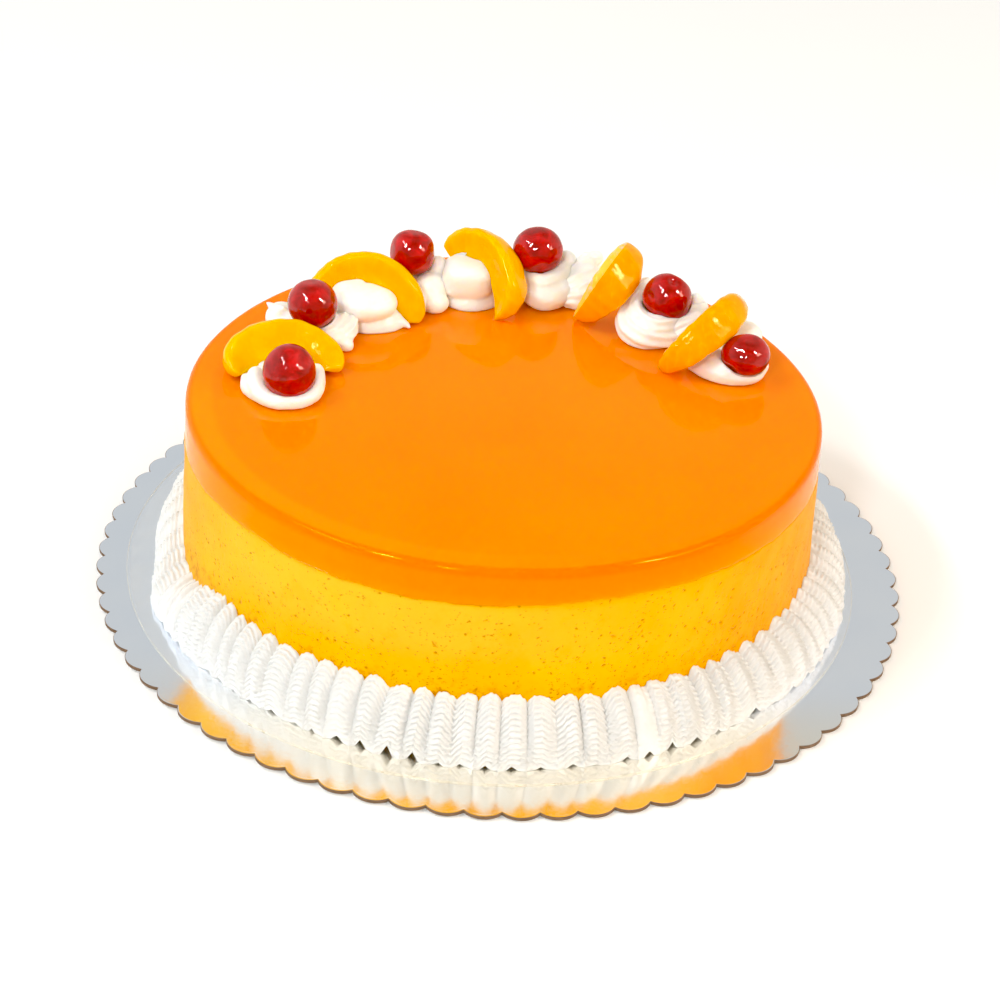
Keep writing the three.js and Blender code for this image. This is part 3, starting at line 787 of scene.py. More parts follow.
def build_border():
    """One wide serrated ribbon, folded up and down against the wall. Its fine ridges arch
    over every fold and meet in a V between two folds; its lower edge touches the disc
    between the folds and leaves a small gap under the middle of each."""
    c = fold_centres()
    n = len(c)
    nxt = np.append(c[1:], c[0] + 360)
    k = np.arange(n)
    edge = (c + nxt) / 2 + 0.25 * uneven(k + 31)         # crease after each fold
    before = np.roll(edge, 1)
    before[0] -= 360
    us = np.array([-0.5, -0.465, -0.40, -0.32, -0.23, -0.145, -0.07, 0.0, 0.07, 0.145, 0.23, 0.32, 0.40, 0.465])
    u = np.tile(us, n)
    fold = np.repeat(k, len(us))
    lo = before[fold]
    hi = edge[fold]
    mid = c[fold]
    a = np.where(u < 0, mid + (mid - lo) * u * 2, mid + (hi - mid) * u * 2)

    def eased(values):
        """The value of each fold, running into its neighbours' towards the creases."""
        other = np.where(u < 0, np.roll(values, 1)[fold], np.roll(values, -1)[fold])
        w = np.abs(u) ** 2 * 2
        return (values[fold] * (1 - w) + other * w)[None, :]

    per = lambda s, amp: 1 + amp * uneven(k + s)
    turn = (c - 150) % 360 + 150
    skew = (0.30 * uneven(k + 77) * (1 - soft(turn, 285, 305)) + 0.52 * soft(turn, 285, 305) * (1 - soft(turn, 370, 400)))[fold]
    v = np.clip(u + skew * (0.25 - u * u) * 2, -0.5, 0.5)
    B = (np.cos(np.pi * v).clip(0, 1) ** 0.72)[None, :]      # a fold's arch
    arc = (np.cos(np.pi * v).clip(0, 1) ** 0.95)[None, :]    # the arch of its fine ridges
    U = u[None, :]
    A0 = a[None, :]
    size = per(5, 0.16)[fold][None, :]
    tall = eased(border_height(c) + 0.9 * uneven(k))
    wide = eased(border_reach(c) + 0.6 * uneven(k + 200))
    leans = [(180, 0.5), (240, 0.3), (247, 0.0), (252, -0.6), (256.5, -1.2), (260, -0.75), (264, 0.0), (275, 0.15),
             (290, 0.6), (303, 1.1), (315, 1.8), (332, 2.0), (360, 0.9), (450, -0.4), (540, 0.5)]
    lean = eased(np.interp((c - 180) % 360 + 180, *np.array(leans).T) + 0.3 * uneven(k + 400) + swell(c, 203, 5, 2.0))
    depth_k = per(60, 0.22)
    depth_k[np.abs(c - 295.2) < 1.0] = 0.15                # one fold came out plain
    depth_k[(turn > 202) & (turn < 209)] = 0.12            # the smooth flap where the ribbon ended
    depth = eased(depth_k) * 0.6 + 0.4 * depth_k[fold][None, :]
    phase = eased(0.5 * uneven(k + 90))
    gap_k = 1.0 + 0.7 * uneven(k + 900)
    for at, high in ((242.6, 1.6), (247.0, 2.3), (251.6, 3.2), (256.3, 4.6), (260.0, 3.6), (263.6, 1.2), (266.7, 1.2),
                     (270.6, 1.9), (274.5, 1.8), (278.7, 1.2), (283.1, 1.4), (295.2, 2.4), (299.2, 3.2), (303.4, 2.6),
                     (314.8, 2.8)):
        gap_k[np.argmin(np.abs(c - at))] = high
    gap_w = (0.15 + 0.05 * uneven(k + 950) + 0.02 * gap_k)[fold][None, :]
    gap = gap_k[fold][None, :] * np.clip(1 - np.abs(U) / gap_w, 0, 1) ** 0.8

    rows = 66
    s = np.linspace(0, 1, rows)[:, None]                  # 0 at the foot, 1 at the wall
    top_z = tall - 2.9 * size * (1 - B) + 0.22 * np.sin(A0 * 5.3) + 0.18 * np.sin(A0 * 8.1 + 1.0)
    for at, wd, hi_ in ((213.4, 0.5, 3.0), (217.6, 0.45, 2.6), (297.2, 0.45, 2.2), (301.3, 0.5, 2.4)):
        top_z = top_z + swell(A0, at, wd, hi_)
    for at, wd, lo_ in ((203.6, 0.5, 3.2), (207.2, 0.45, 3.6)):
        top_z = top_z - swell(A0, at, wd, lo_)
    inner0 = wall_r(Z_CAKE)
    # Section of the ribbon: up from the foot, then over to the wall.
    f0r, f0z = wide - 0.3, gap
    f1r, f1z = wide - 0.2, top_z * 0.42
    f2r, f2z = inner0 + (wide - inner0) * 0.60, top_z * 0.90
    f3r, f3z = wall_r(Z_CAKE + top_z) - 0.3, top_z
    m = 1 - s
    r = m ** 3 * f0r + 3 * m * m * s * f1r + 3 * m * s * s * f2r + s ** 3 * f3r
    z = m ** 3 * f0z + 3 * m * m * s * f1z + 3 * m * s * s * f2z + s ** 3 * f3z
    dr = np.gradient(r, axis=0)
    dz = np.gradient(z, axis=0)
    ln = np.hypot(dr, dz) + 1e-9
    nr, nz = dz / ln, -dr / ln                             # outward normal in the section
    run = np.hypot(np.diff(r, axis=0), np.diff(z, axis=0))
    length = np.vstack([np.zeros((1, r.shape[1])), np.cumsum(run, 0)])
    # The folds stand out at mid height; at the foot the ribbon is turned the other way.
    flat = eased(np.interp(turn, [150, 168, 200, 210, 280, 305, 360, 400], [1.0, 0.55, 0.55, 1.0, 1.0, 0.75, 0.75, 1.0]))
    amp = flat * size * (1.8 * soft(s, 0.06, 0.34) * (1 - 0.55 * soft(s, 0.42, 0.75)) * (1 - 0.6 * soft(s, 0.80, 1.0))
                  - 1.0 * (1 - soft(s, 0.0, 0.16)))
    out = amp * (B - 0.6)
    # Low arches at the front left, steep ones at the right, and nearly none at the far left,
    # where the ribbon lies almost flat.
    steep = eased(np.interp(turn, [150, 168, 200, 211, 250, 285, 310, 345, 400, 510],
                            [3.0, 0.5, 0.4, 2.3, 2.4, 3.0, 6.0, 6.0, 3.5, 3.0]))
    arch = (steep - 0.5 * soft(s, 0.55, 1.0)) * size
    q = length - length[-1:] - arch * arc + phase + 0.8 * np.sin(np.radians(A0) * 17 + 1.0) * soft(s, 0, 1)
    ridge = 1.12 * (np.abs(np.sin(np.pi * q / 2.2)) ** 0.8 - 1)
    fade = soft(s, 0.0, 0.03) * (1 - 0.85 * soft(s, 0.90, 0.97))
    rough = (0.09 * np.sin(A0 * 1.9 + length * 0.7) * np.sin(length * 0.55 - A0 * 0.83 + 1.3)
             + 0.05 * np.sin(A0 * 4.7 - length * 1.3 + 2.0))
    deep = eased(np.interp(turn, [150, 200, 250, 300, 345, 400, 510], [1.0, 1.15, 1.05, 1.35, 1.35, 1.0, 1.0]))
    out = out + (deep * depth * ridge + rough) * fade
    r = r + nr * out
    z = z + nz * out * soft(s, 0, 0.05)
    z = np.maximum(z, gap * (1 - soft(s, 0, 0.15)))
    r = np.maximum(r, wall_r(Z_CAKE + z) - 0.3)
    z[0] = gap[0]
    z = z - 0.60 * (1 - soft(s, 0.0, 0.10))
    # Inner face: down the wall, then hollow behind the ribbon.
    back = (0.985, 0.93, 0.82, 0.68, 0.52, 0.36, 0.2, 0.08, 0.0)
    rs, zs = [r], [z]
    for t in back:
        zz = np.maximum(top_z * t * 0.985, gap)
        face = wide - (wide - inner0) * t ** 2.2 * 0.9
        rs.append(np.maximum(wall_r(Z_CAKE + zz) - 0.3, face - 4.4))
        zs.append(zz)
    R = np.vstack(rs)
    Z = np.vstack(zs)
    total, cols = R.shape
    sl = np.concatenate([np.linspace(0, 1, rows), back])[:, None]
    A = np.radians(A0 + lean * (1 - sl) ** 1.3)
    pts = np.stack([CAKE_X + R * np.cos(A), CAKE_Y + R * np.sin(A), Z_CAKE + 0.03 + Z], -1)
    quads = grid_faces(total, cols)
    # The sole joins the last inner row to the first outer row.
    j = np.arange(cols)
    kk = (j + 1) % cols
    sole = np.stack([(total - 1) * cols + j, (total - 1) * cols + kk, kk, j], -1)
    ob = mesh_object("cream_ruffle", pts.reshape(-1, 3), np.concatenate([quads, sole]))
    return finish_piece(ob, CREAM, "cream", "cream_border")


build_border()


# ------------------------------------------------------------------ peach slices
def slice_frame(s):
    z = Vector(s["chord"]).normalized()
    x = Vector(s["bulge"])
    x = (x - z * x.dot(z)).normalized()
    y = z.cross(x)
    return np.array(x), np.array(y), np.array(z), np.array(s["o"], float)


def build_slice(i, s):
    x, y, z, o = slice_frame(s)
    mid = (s["ro"] + s["ri"]) / 2
    hw = (s["ro"] - s["ri"]) / 2
    end = math.pi / 2 + 0.02
    st = 72
    rows = []
    for j in range(st + 1):
        t = -1 + 2 * j / st
        f = end * math.copysign(abs(t) ** 0.9, t)
        blunt = s["ends"][0 if f < 0 else 1]
        start = 0.42 + 0.8 * min(blunt, 0.375)
        e = max(0.0, (abs(f) / end - start) / (1 - start))
        if blunt > 0.2:
            w = hw * (blunt + (1 - blunt) * math.sqrt(max(0.0, 1 - e * e * 0.98)))
        else:
            w = hw * (blunt + (1 - blunt) * (1 - e ** 1.7))
        w = max(w, 0.6)
        thin = max(0.2, max(0.0, math.cos(f * 0.97)) ** s["taper"])
        # The very end is drawn in to a round nose.
        nose = max(0.0, (abs(t) - 0.955) / 0.045)
        shrink = math.sqrt(max(0.0, 1 - nose ** 2 * 0.985))
        outer = s["ro"] * math.sin(s["half"]) * thin
        inner = s["ri"] * math.sin(s["half"]) * thin
        ctrl = [(w, 0), (w * 0.90, outer * 0.72), (w * 0.62, outer * 0.985), (w * 0.35, outer * 0.955), (-w * 0.35, inner * 1.35),
                (-w * 0.86, inner * 0.98), (-w * 0.99, inner * 0.55), (-w * 0.94, 0)]
        half = np.array(ctrl)
        loop = np.concatenate([half, (half[1:-1] * [1, -1])[::-1]])
        # Round the section's corners by a closed spline through its points.
        m = len(loop)
        fine = []
        for a in range(m):
            p0, p1, p2, p3 = loop[a - 1], loop[a], loop[(a + 1) % m], loop[(a + 2) % m]
            for q in (0, 0.25, 0.5, 0.75):
                fine.append(0.5 * ((2 * p1) + (-p0 + p2) * q + (2 * p0 - 5 * p1 + 4 * p2 - p3) * q * q
                                   + (-p0 + 3 * p1 - 3 * p2 + p3) * q ** 3))
        fine = np.array(fine) * shrink
        u = mid + fine[:, 0] + (1 - shrink) * 0
        pts = (o + np.outer(u * math.cos(f), x) + np.outer(u * math.sin(f) * s["long"][0 if f < 0 else 1], z) + np.outer(fine[:, 1], y))
        rows.append(pts)
    P = np.array(rows)
    P = P + np.array([CAKE_X, CAKE_Y, Z_TOP])
    # A slice that dips to the jelly lies flat on it.
    floor_z = Z_TOP + 0.02
    P[..., 2] = np.where(P[..., 2] < floor_z, floor_z + (P[..., 2] - floor_z) * 0.02, P[..., 2])
    n = P.shape[1]
    v = P.reshape(-1, 3)
    m = P.shape[0]
    quads = grid_faces(m, n)
    c0 = P[0].mean(0)[None]
    c1 = P[-1].mean(0)[None]
    v = np.concatenate([v, c0, c1])
    j = np.arange(n)
    k = (j + 1) % n
    caps = np.concatenate([np.stack([np.full(n, m * n), k, j], -1),
                           np.stack([np.full(n, m * n + 1), (m - 1) * n + j, (m - 1) * n + k], -1)])
    ob = mesh_object("peach_%02d" % (i + 1), v, quads, caps)
    # Slow unevenness of a cut fruit.
    pts = points_of(ob)
    nrm = normals_of(ob)
    w = (np.sin(pts[:, 0] * 0.55 + i) * np.sin(pts[:, 1] * 0.48 + 2 * i) * 0.22
         + np.sin(pts[:, 2] * 1.1 + pts[:, 0] * 0.9 + i) * 0.10)
    keep = pts[:, 2] > Z_TOP + 0.8
    set_points(ob, pts + nrm * (w * keep)[:, None])
    if i != 3:
        return finish_piece(ob, PEACH if i < 3 else PEACH_DEEP, "peach", "peach_slice_%02d" % (i + 1))
    # The fourth slice turns one cut side to the front, given a paler colour as a painted sheen.
    ob.data.materials.append(PEACH_DEEP)
    ob.data.materials.append(PEACH_SIDE_PAINTED_SHEEN)
    idx = np.zeros(len(ob.data.polygons), np.int32)
    col = np.tile(np.arange(n), m - 1)
    idx[: len(col)] = (col >= 34) & (col < 52)
    ob.data.polygons.foreach_set("material_index", idx)
    return finish_piece(ob, None, "peach", "peach_slice_%02d" % (i + 1))


for i, s in enumerate(SLICES):
    build_slice(i, s)


# ------------------------------------------------------------------ cherries
# Flats and dimples pressed into each cherry: direction, size and depth.
CHERRY_DENTS = [
    [((0.5, -0.35, 0.8), 0.30, 0.035), ((-0.6, -0.5, 0.5), 0.35, 0.02), ((0.1, -0.9, -0.3), 0.25, 0.02)],
    [((-0.1, 0.1, 1.0), 0.45, 0.05), ((0.5, -0.8, -0.1), 0.28, 0.03), ((0.9, -0.2, 0.4), 0.4, 0.035)],
    [((0.0, 0.1, 1.0), 0.5, 0.06), ((0.95, -0.1, 0.1), 0.5, 0.06), ((-0.9, -0.3, 0.2), 0.45, 0.045),
     ((0.25, -0.9, -0.1), 0.22, 0.035), ((-0.5, -0.7, -0.6), 0.3, 0.03)],
    [((-0.3, -0.1, 1.0), 0.45, 0.04), ((0.2, -0.95, -0.3), 0.3, 0.035), ((0.8, -0.5, 0.2), 0.3, 0.02)],
    [((0.2, -0.35, 0.95), 0.26, 0.11), ((-0.75, -0.55, 0.3), 0.4, 0.05), ((0.3, -0.9, 0.05), 0.35, 0.05),
     ((0.9, -0.35, -0.1), 0.4, 0.05), ((-0.2, -0.75, -0.6), 0.35, 0.05),
     ((-0.75, -0.30, -0.50), 0.55, 0.075), ((0.50, 0.42, 0.68), 0.50, 0.07)],
    [((0.1, -0.1, 1.0), 0.5, 0.07), ((0.55, -0.8, 0.1), 0.3, 0.04), ((-0.6, -0.6, -0.4), 0.35, 0.04),
     ((-0.3, -0.8, 0.45), 0.25, 0.03)],
]


def build_cherry(i, c):
    nu, nv = 128, 80
    cx, cy, cz = c["c"]
    rx, ry, rz = c["r"]
    seed = c["seed"]
    th = np.linspace(0, np.pi, nv + 1)[1:-1][:, None]
    ph = (np.arange(nu) * 2 * np.pi / nu)[None, :]
    dx, dy, dz = np.sin(th) * np.cos(ph), np.sin(th) * np.sin(ph), np.cos(th) + 0 * ph
    d = np.stack([dx, dy, dz], -1)
    poles = np.array([[[0, 0, 1.0]], [[0, 0, -1.0]]])

    def out(d):
        x, y, z = d[..., 0], d[..., 1], d[..., 2]
        k = (1.02 + 0.02 * np.sin(3 * x + seed) + 0.02 * np.sin(2.6 * y + 2 * seed) + 0.015 * np.sin(3.4 * z + 3 * seed))
        for at, size, depth in CHERRY_DENTS[i]:
            at = np.array(at) / np.linalg.norm(at)
            away = np.linalg.norm(d - at, axis=-1)
            k = k - 1.6 * depth * np.exp(-((away / size) ** 2) * 1.4)
        # Fine wrinkles of candied skin, running down from the top.
        a = np.arctan2(y, x)
        k = k + 0.0045 * np.sin(7 * x + 3 * np.sin(4 * z + seed) + seed) * np.sin(6.3 * z + 2 * np.sin(3 * y) + seed)
        k = k + 0.0022 * np.sin(17 * x + seed + 2 * np.sin(5 * y)) * np.sin(13 * z - seed) * np.sin(11 * y + seed)
        k = k - 0.004 * np.exp(-((np.sin(2.5 * a + 1.2 * np.sin(3 * z) + seed) / 0.10) ** 2)) * np.clip(1 - z * z * 1.2, 0, 1)
        return np.stack([cx + CAKE_X + rx * k * x, cy + CAKE_Y + ry * k * y, cz + Z_TOP + rz * k * z], -1)

    v = out(d).reshape(-1, 3)
    v = np.concatenate([v, out(poles).reshape(-1, 3)])
    m = nv - 1
    quads = grid_faces(m, nu, flip=True)
    j = np.arange(nu)
    k = (j + 1) % nu
    caps = np.concatenate([np.stack([np.full(nu, m * nu), j, k], -1),
                           np.stack([np.full(nu, m * nu + 1), (m - 1) * nu + k, (m - 1) * nu + j], -1)])
    ob = mesh_object("cherry_%02d_glazed" % (i + 1), v, quads, caps)
    return finish_piece(ob, CHERRY, "cherry", "cherry_%02d" % (i + 1))


for i, c in enumerate(CHERRIES):
    build_cherry(i, c)

# ------------------------------------------------------------------ rosettes
# Each rosette is a heap of soft lobes (x, y, z, three radii) and piped ropes (points with a
# radius), in mm from the cake's axis and the top of the jelly.
WHIPPED = [
    dict(lobes=[(-83, -5.1, 0.5, 12, 10.5, 4.6), (-84.1, 1.4, 2, 11, 7, 5)],
         ropes=[[(-94.2, -5.7, 5.2, 3.1), (-93.0, -11.6, 4.6, 3.7), (-90.6, -17.0, 3.4, 3.4), (-86.0, -20.2, 2.6, 3.1), (-81, -20.9, 2.4, 3.0), (-76.0, -19.4, 2.6, 3.1), (-72.2, -16.2, 3.4, 3.3), (-70.6, -11.2, 4.4, 3.4), (-71.1, -5.1, 5.2, 3.3), (-71.7, -0.1, 5, 3)],
                [(-97.8, -4.2, 2.4, 2.2), (-96.3, -9.9, 2.2, 2.8), (-93.5, -14.5, 2, 2.8), (-89.4, -17.9, 1.6, 2.2)]]),
    dict(lobes=[(-79.9, 39.7, 1.5, 14.5, 13.5, 9.5), (-89.6, 41.9, 5, 6.6, 8, 5.6), (-63, 27.5, 2.2, 3, 3.2, 3)],
         ropes=[[(-89.7, 39.5, 8, 3.8), (-92.6, 40.6, 9.4, 2.4), (-95.2, 41.1, 11.4, 0.7)],
                [(-62.2, 39.3, 6, 3), (-62.7, 32.6, 4.6, 3.3), (-66.2, 28.4, 2.6, 3)],
                [(-65.3, 38.7, 7, 3.2), (-65.8, 32.1, 6, 3.3), (-68.9, 27.9, 3.6, 3.2)],
                [(-69, 36.2, 8, 3.2), (-69.2, 30.5, 6.6, 3.4), (-72.4, 27.6, 4.4, 3.2)]]),
    dict(lobes=[(-56, 55.9, 0.5, 16.3, 14.6, 8.6), (-57.7, 50.3, 9.5, 13.2, 11.2, 6.5), (-63.2, 54.4, 10.6, 8.6, 7.5, 5.6), (-61.5, 57, 13.4, 4, 4, 3.2)],
         ropes=[[(-49, 48.5, 2.6, 3.6), (-44.3, 49.4, 2, 2.4), (-41.5, 49, 1.5, 1.6), (-39.7, 47.4, 1.1, 0.8)]]),
    dict(lobes=[(-36.9, 77, 1.5, 11.5, 12, 9), (-32.6, 72.2, 6, 7, 8.5, 7), (-30.4, 79.9, 11.4, 4.6, 6, 5.4), (-31, 65.9, 3.4, 6.2, 6, 4.6), (-38.2, 65.6, 4, 6.5, 6.5, 5)],
         ropes=[]),
    dict(lobes=[(-16.8, 78.1, 0.5, 12.6, 12.4, 7.6), (-17.9, 76.8, 10.2, 10.6, 10.2, 7.6, 0.62), (-22.6, 77.9, 13.2, 5.2, 6, 4.2)],
         ropes=[]),
    dict(lobes=[(13.3, 85.6, 1.5, 11.8, 11, 8), (22.1, 91.5, 12, 4.2, 5.2, 5.4)],
         ropes=[[(6.1, 80.8, 6.6, 4.2), (8.8, 75.3, 5, 5), (14.2, 73.6, 4.4, 5.4), (19.4, 76.8, 5, 5), (21.7, 83.4, 6.4, 4.4)],
                [(6.8, 83.4, 9, 3.6), (11.4, 76.3, 9.2, 4.4), (16.6, 79.9, 9.6, 4.4), (20.1, 85.9, 11.4, 3.8)]]),
    dict(lobes=[(33.1, 91.1, 1.5, 12.5, 11, 9), (27.3, 75.4, 2.6, 4.8, 4.2, 3.6), (29.8, 94.9, 13.6, 2.6, 2.8, 2.4)],
         ropes=[[(24.4, 85.7, 8.6, 3.2), (26.7, 88, 10.4, 4), (30.7, 90.4, 12.2, 3.8)],
                [(27.5, 92.1, 11.6, 3), (30.3, 92.9, 12.8, 3.6), (33.9, 94.6, 13.6, 3)],
                [(23.3, 79.9, 6.4, 3.4), (26.9, 81.9, 8.4, 4.2), (31.6, 85.5, 10.6, 4)],
                [(23.6, 75.6, 3.6, 3.8), (27.2, 76.3, 4.4, 4.6), (31.5, 79.9, 7, 4.4)]]),
    dict(lobes=[(59, 65, 1, 13.6, 13.4, 7.6), (74, 61.6, 11, 4, 5.6, 5)],
         ropes=[[(47, 60.3, 8, 3.2), (46.3, 54.5, 6, 4.2), (49.1, 48.5, 4.4, 4.8), (55.1, 45.7, 3.6, 4.8), (62.2, 47.1, 3.8, 4.4), (67.9, 52.4, 5, 4)],
                [(51.6, 65.3, 11.6, 3), (50.4, 58.1, 9.8, 3.8), (52.8, 51.2, 8.6, 4.2), (58.3, 47.6, 8.2, 4.2), (64.3, 51.1, 9, 3.8)],
                [(54.1, 74.6, 13.4, 2.6), (51.7, 69, 12, 3.8), (50.5, 63, 10, 4.2)]]),
    dict(lobes=[(80.3, 54, 1, 11.5, 10, 8)],
         ropes=[[(64.7, 46.7, 2.4, 3.2), (67.4, 48.8, 4.6, 3.8), (72.4, 51, 7.4, 3.6)],
                [(64.4, 48.3, 6, 2.6), (67.9, 50.1, 8, 3.4), (73.4, 53.9, 10, 3.2)],
                [(67.8, 53, 9.6, 2.2), (71.4, 56, 11, 3), (76.2, 59, 12, 2.6)]]),
    dict(lobes=[(86.8, 32.3, 0.5, 13.5, 11, 5.5), (94.1, 50.7, 5, 6.5, 6.5, 5.5), (77.6, 31.6, 2, 8, 5.5, 4.5)],
         ropes=[[(71.6, 27.5, 1.6, 1.6), (75.6, 25, 2.4, 3.4), (81.2, 21.8, 3.2, 4.6), (88.1, 20.3, 3.6, 4.8), (93.9, 21.1, 4, 4.4), (98, 26.2, 4.6, 3.6)],
                [(81.1, 30.7, 5.4, 3.4), (81.5, 23, 5.2, 3.8), (85.9, 19.2, 5.4, 3.4)]]),
]


def rope_mesh(points, twist, lobes=7, depth=0.05):
    """Points and faces of a piped rope of star section with round ends."""
    p = np.array(points, float)
    n = len(p)
    ext = np.concatenate([[2 * p[0] - p[1]], p, [2 * p[-1] - p[-2]]])
    fine = []
    for i in range(n - 1):
        p0, p1, p2, p3 = ext[i:i + 4]
        for q in np.arange(0, 1, 0.125):
            fine.append(0.5 * ((2 * p1) + (-p0 + p2) * q + (2 * p0 - 5 * p1 + 4 * p2 - p3) * q * q
                               + (-p0 + 3 * p1 - 3 * p2 + p3) * q ** 3))
    fine.append(p[-1])
    fine = np.array(fine)
    tan = np.gradient(fine[:, :3], axis=0)
    tan /= np.linalg.norm(tan, axis=1)[:, None]
    side_dir = np.cross(tan, [0, 0, 1.0])
    side_dir /= np.linalg.norm(side_dir, axis=1)[:, None] + 1e-9
    up_dir = np.cross(side_dir, tan)
    run = np.concatenate([[0], np.cumsum(np.linalg.norm(np.diff(fine[:, :3], axis=0), axis=1))])
    m = 42
    ph = np.arange(m) * 2 * np.pi / m
    rows = []

    def ring(c, t, sd, ud, r, at, along=0.0):
        rr = r * (1 + depth * np.cos(lobes * ph + twist * at))
        rows.append(c + t * along + np.outer(np.cos(ph) * rr, sd) + np.outer(np.sin(ph) * rr, ud))

    for k in (80, 55, 30):
        e = math.radians(k)
        ring(fine[0, :3], -tan[0], side_dir[0], up_dir[0], fine[0, 3] * math.cos(e), 0, fine[0, 3] * math.sin(e))
    for i in range(len(fine)):
        ring(fine[i, :3], tan[i], side_dir[i], up_dir[i], fine[i, 3], run[i])
    for k in (30, 55, 80):
        e = math.radians(k)
        ring(fine[-1, :3], tan[-1], side_dir[-1], up_dir[-1], fine[-1, 3] * math.cos(e), run[-1], fine[-1, 3] * math.sin(e))
    v = np.array(rows).reshape(-1, 3)
    k = len(rows)
    quads = grid_faces(k, m)
    v = np.concatenate([v, rows[0].mean(0)[None], rows[-1].mean(0)[None]])
    j = np.arange(m)
    j2 = (j + 1) % m
    caps = np.concatenate([np.stack([np.full(m, k * m), j2, j], -1),
                           np.stack([np.full(m, k * m + 1), (k - 1) * m + j, (k - 1) * m + j2], -1)])
    return v, quads, caps


def lobe_mesh(x, y, z, rx, ry, rz, box=1.0):
    """A soft lobe; box below 1 gives it a flatter top and steeper sides."""
    nu, nv = 48, 26
    th = np.linspace(0, np.pi, nv + 1)[1:-1][:, None]
    ph = (np.arange(nu) * 2 * np.pi / nu)[None, :]
    full = lambda t: np.sign(t) * np.abs(t) ** box
    v = np.stack([x + rx * full(np.sin(th)) * full(np.cos(ph)), y + ry * full(np.sin(th)) * full(np.sin(ph)),
                  z + rz * full(np.cos(th)) + 0 * ph], -1)
    v = np.concatenate([v.reshape(-1, 3), [[x, y, z + rz], [x, y, z - rz]]])
    m = nv - 1
    quads = grid_faces(m, nu, flip=True)
    j = np.arange(nu)
    k = (j + 1) % nu
    caps = np.concatenate([np.stack([np.full(nu, m * nu), j, k], -1),
                           np.stack([np.full(nu, m * nu + 1), (m - 1) * nu + k, (m - 1) * nu + j], -1)])
    return v, quads, caps


def clear_of_fruit(p, gap=0.12, slices=True):
    """Cream points moved to just outside the cherries and slices, where they press into it."""
    for c in CHERRIES:
        d = p - np.array(c["c"])
        size = np.array(c["r"]) * 1.03 + gap
        k = np.linalg.norm(d / size, axis=1)
        k = np.maximum(k, 1e-3)
        p = np.where((k < 1)[:, None], np.array(c["c"]) + d / k[:, None], p)
    for s in SLICES if slices else []:
        x, y, z, o = slice_frame(s)
        d = p - o
        a, b, c = d @ x, d @ y, d @ z
        c = c / np.where(c < 0, *s["long"])
        u = np.hypot(a, c)
        f = np.arctan2(c, a)
        mid = (s["ro"] + s["ri"]) / 2
        hw = (s["ro"] - s["ri"]) / 2 + 0.3
        thin = np.maximum(0.2, np.maximum(0.0, np.cos(f * 0.97)) ** s["taper"])
        inside = (np.abs(f) < math.pi / 2) & (np.abs(u - mid) < hw)
        t = np.clip((u - mid) / hw, -1, 1)
        thick = thin * math.sin(s["half"]) * (s["ri"] + (s["ro"] - s["ri"]) * (t + 1) / 2) * np.clip(1 - t ** 4, 0, 1) ** 0.5 + gap
        push = np.where(inside & (np.abs(b) < thick), np.sign(b + 1e-6) * thick - b, 0.0)
        p = p + push[:, None] * y
    return p


def build_whipped(i, w):
    star = 0.13 if i in (1, 6, 7, 8) else 0.03            # some were piped with clear ridges
    bits = [lobe_mesh(*b) for b in w["lobes"]]
    bits += [rope_mesh(r, 0.35 + 0.1 * float(uneven(i * 7 + k)), depth=star) for k, r in enumerate(w["ropes"])]
    vs, qs, ts, first = [], [], [], 0
    for v, q, t in bits:
        vs.append(v)
        qs.append(q + first)
        ts.append(t + first)
        first += len(v)
    ob = mesh_object("rosette_%02d_cream" % (i + 1), np.concatenate(vs), np.concatenate(qs), np.concatenate(ts))
    rm = ob.modifiers.new("join", "REMESH")
    rm.mode = "VOXEL"
    rm.voxel_size = 0.55 * MM
    rm.use_smooth_shade = True
    sm = ob.modifiers.new("soft", "SMOOTH")
    sm.factor = 0.5
    sm.iterations = 2 if star > 0.05 else 6
    applied(ob)
    p = points_of(ob)
    nrm = normals_of(ob)
    # Slow unevenness of soft cream, then pressed flat on the jelly and round the fruit.
    w1 = (np.sin(p[:, 0] * 0.5 + i) * np.sin(p[:, 1] * 0.45 + 2 * i) * 0.20
          + np.sin(p[:, 0] * 1.3 - p[:, 2] * 1.1 + i) * np.sin(p[:, 1] * 1.2 + p[:, 2]) * 0.06)
    p = p + nrm * w1[:, None]
    set_points(ob, clear_of_fruit(p, 0.0, i != 2))
    sm = ob.modifiers.new("soft", "SMOOTH")
    sm.factor = 0.5
    sm.iterations = 2
    applied(ob)
    p = clear_of_fruit(points_of(ob), 0.03, i != 2)
    p[:, 2] = np.where(p[:, 2] < 0.6, 0.02 + 0.58 * soft(p[:, 2], -1.2, 0.6) * (p[:, 2] > -1.2), p[:, 2])
    set_points(ob, p + np.array([CAKE_X, CAKE_Y, Z_TOP]))
    shade_smooth(ob)
    return finish_piece(ob, SOFT_CREAM, "cream", "rosette_%02d" % (i + 1))


for i, w in enumerate(WHIPPED):
    build_whipped(i, w)


# ------------------------------------------------------------------ floor and light
def build_floor():
    me = bpy.data.meshes.new("floor")
    s = 6.0
    z = -0.0004
    me.from_pydata([(-s, -s, z), (s, -s, z), (s, s, z), (-s, s, z)], [], [(0, 1, 2, 3)])
    ob = bpy.data.objects.new("floor", me)
    bpy.context.scene.collection.objects.link(ob)
    me.materials.append(floor_material())
    return ob


build_floor()


def area(name, at, look, size, watts, colour=(1, 1, 1), size_y=None):
    d = bpy.data.lights.new(name, "AREA")
    d.energy = watts
    d.color = colour
    d.shape = "RECTANGLE" if size_y else "SQUARE"
    d.size = size
    if size_y:
        d.size_y = size_y
    ob = bpy.data.objects.new(name, d)
    bpy.context.scene.collection.objects.link(ob)
    ob.location = at
    ob.rotation_euler = (Vector(look) - Vector(at)).to_track_quat("-Z", "Y").to_euler()
    return ob


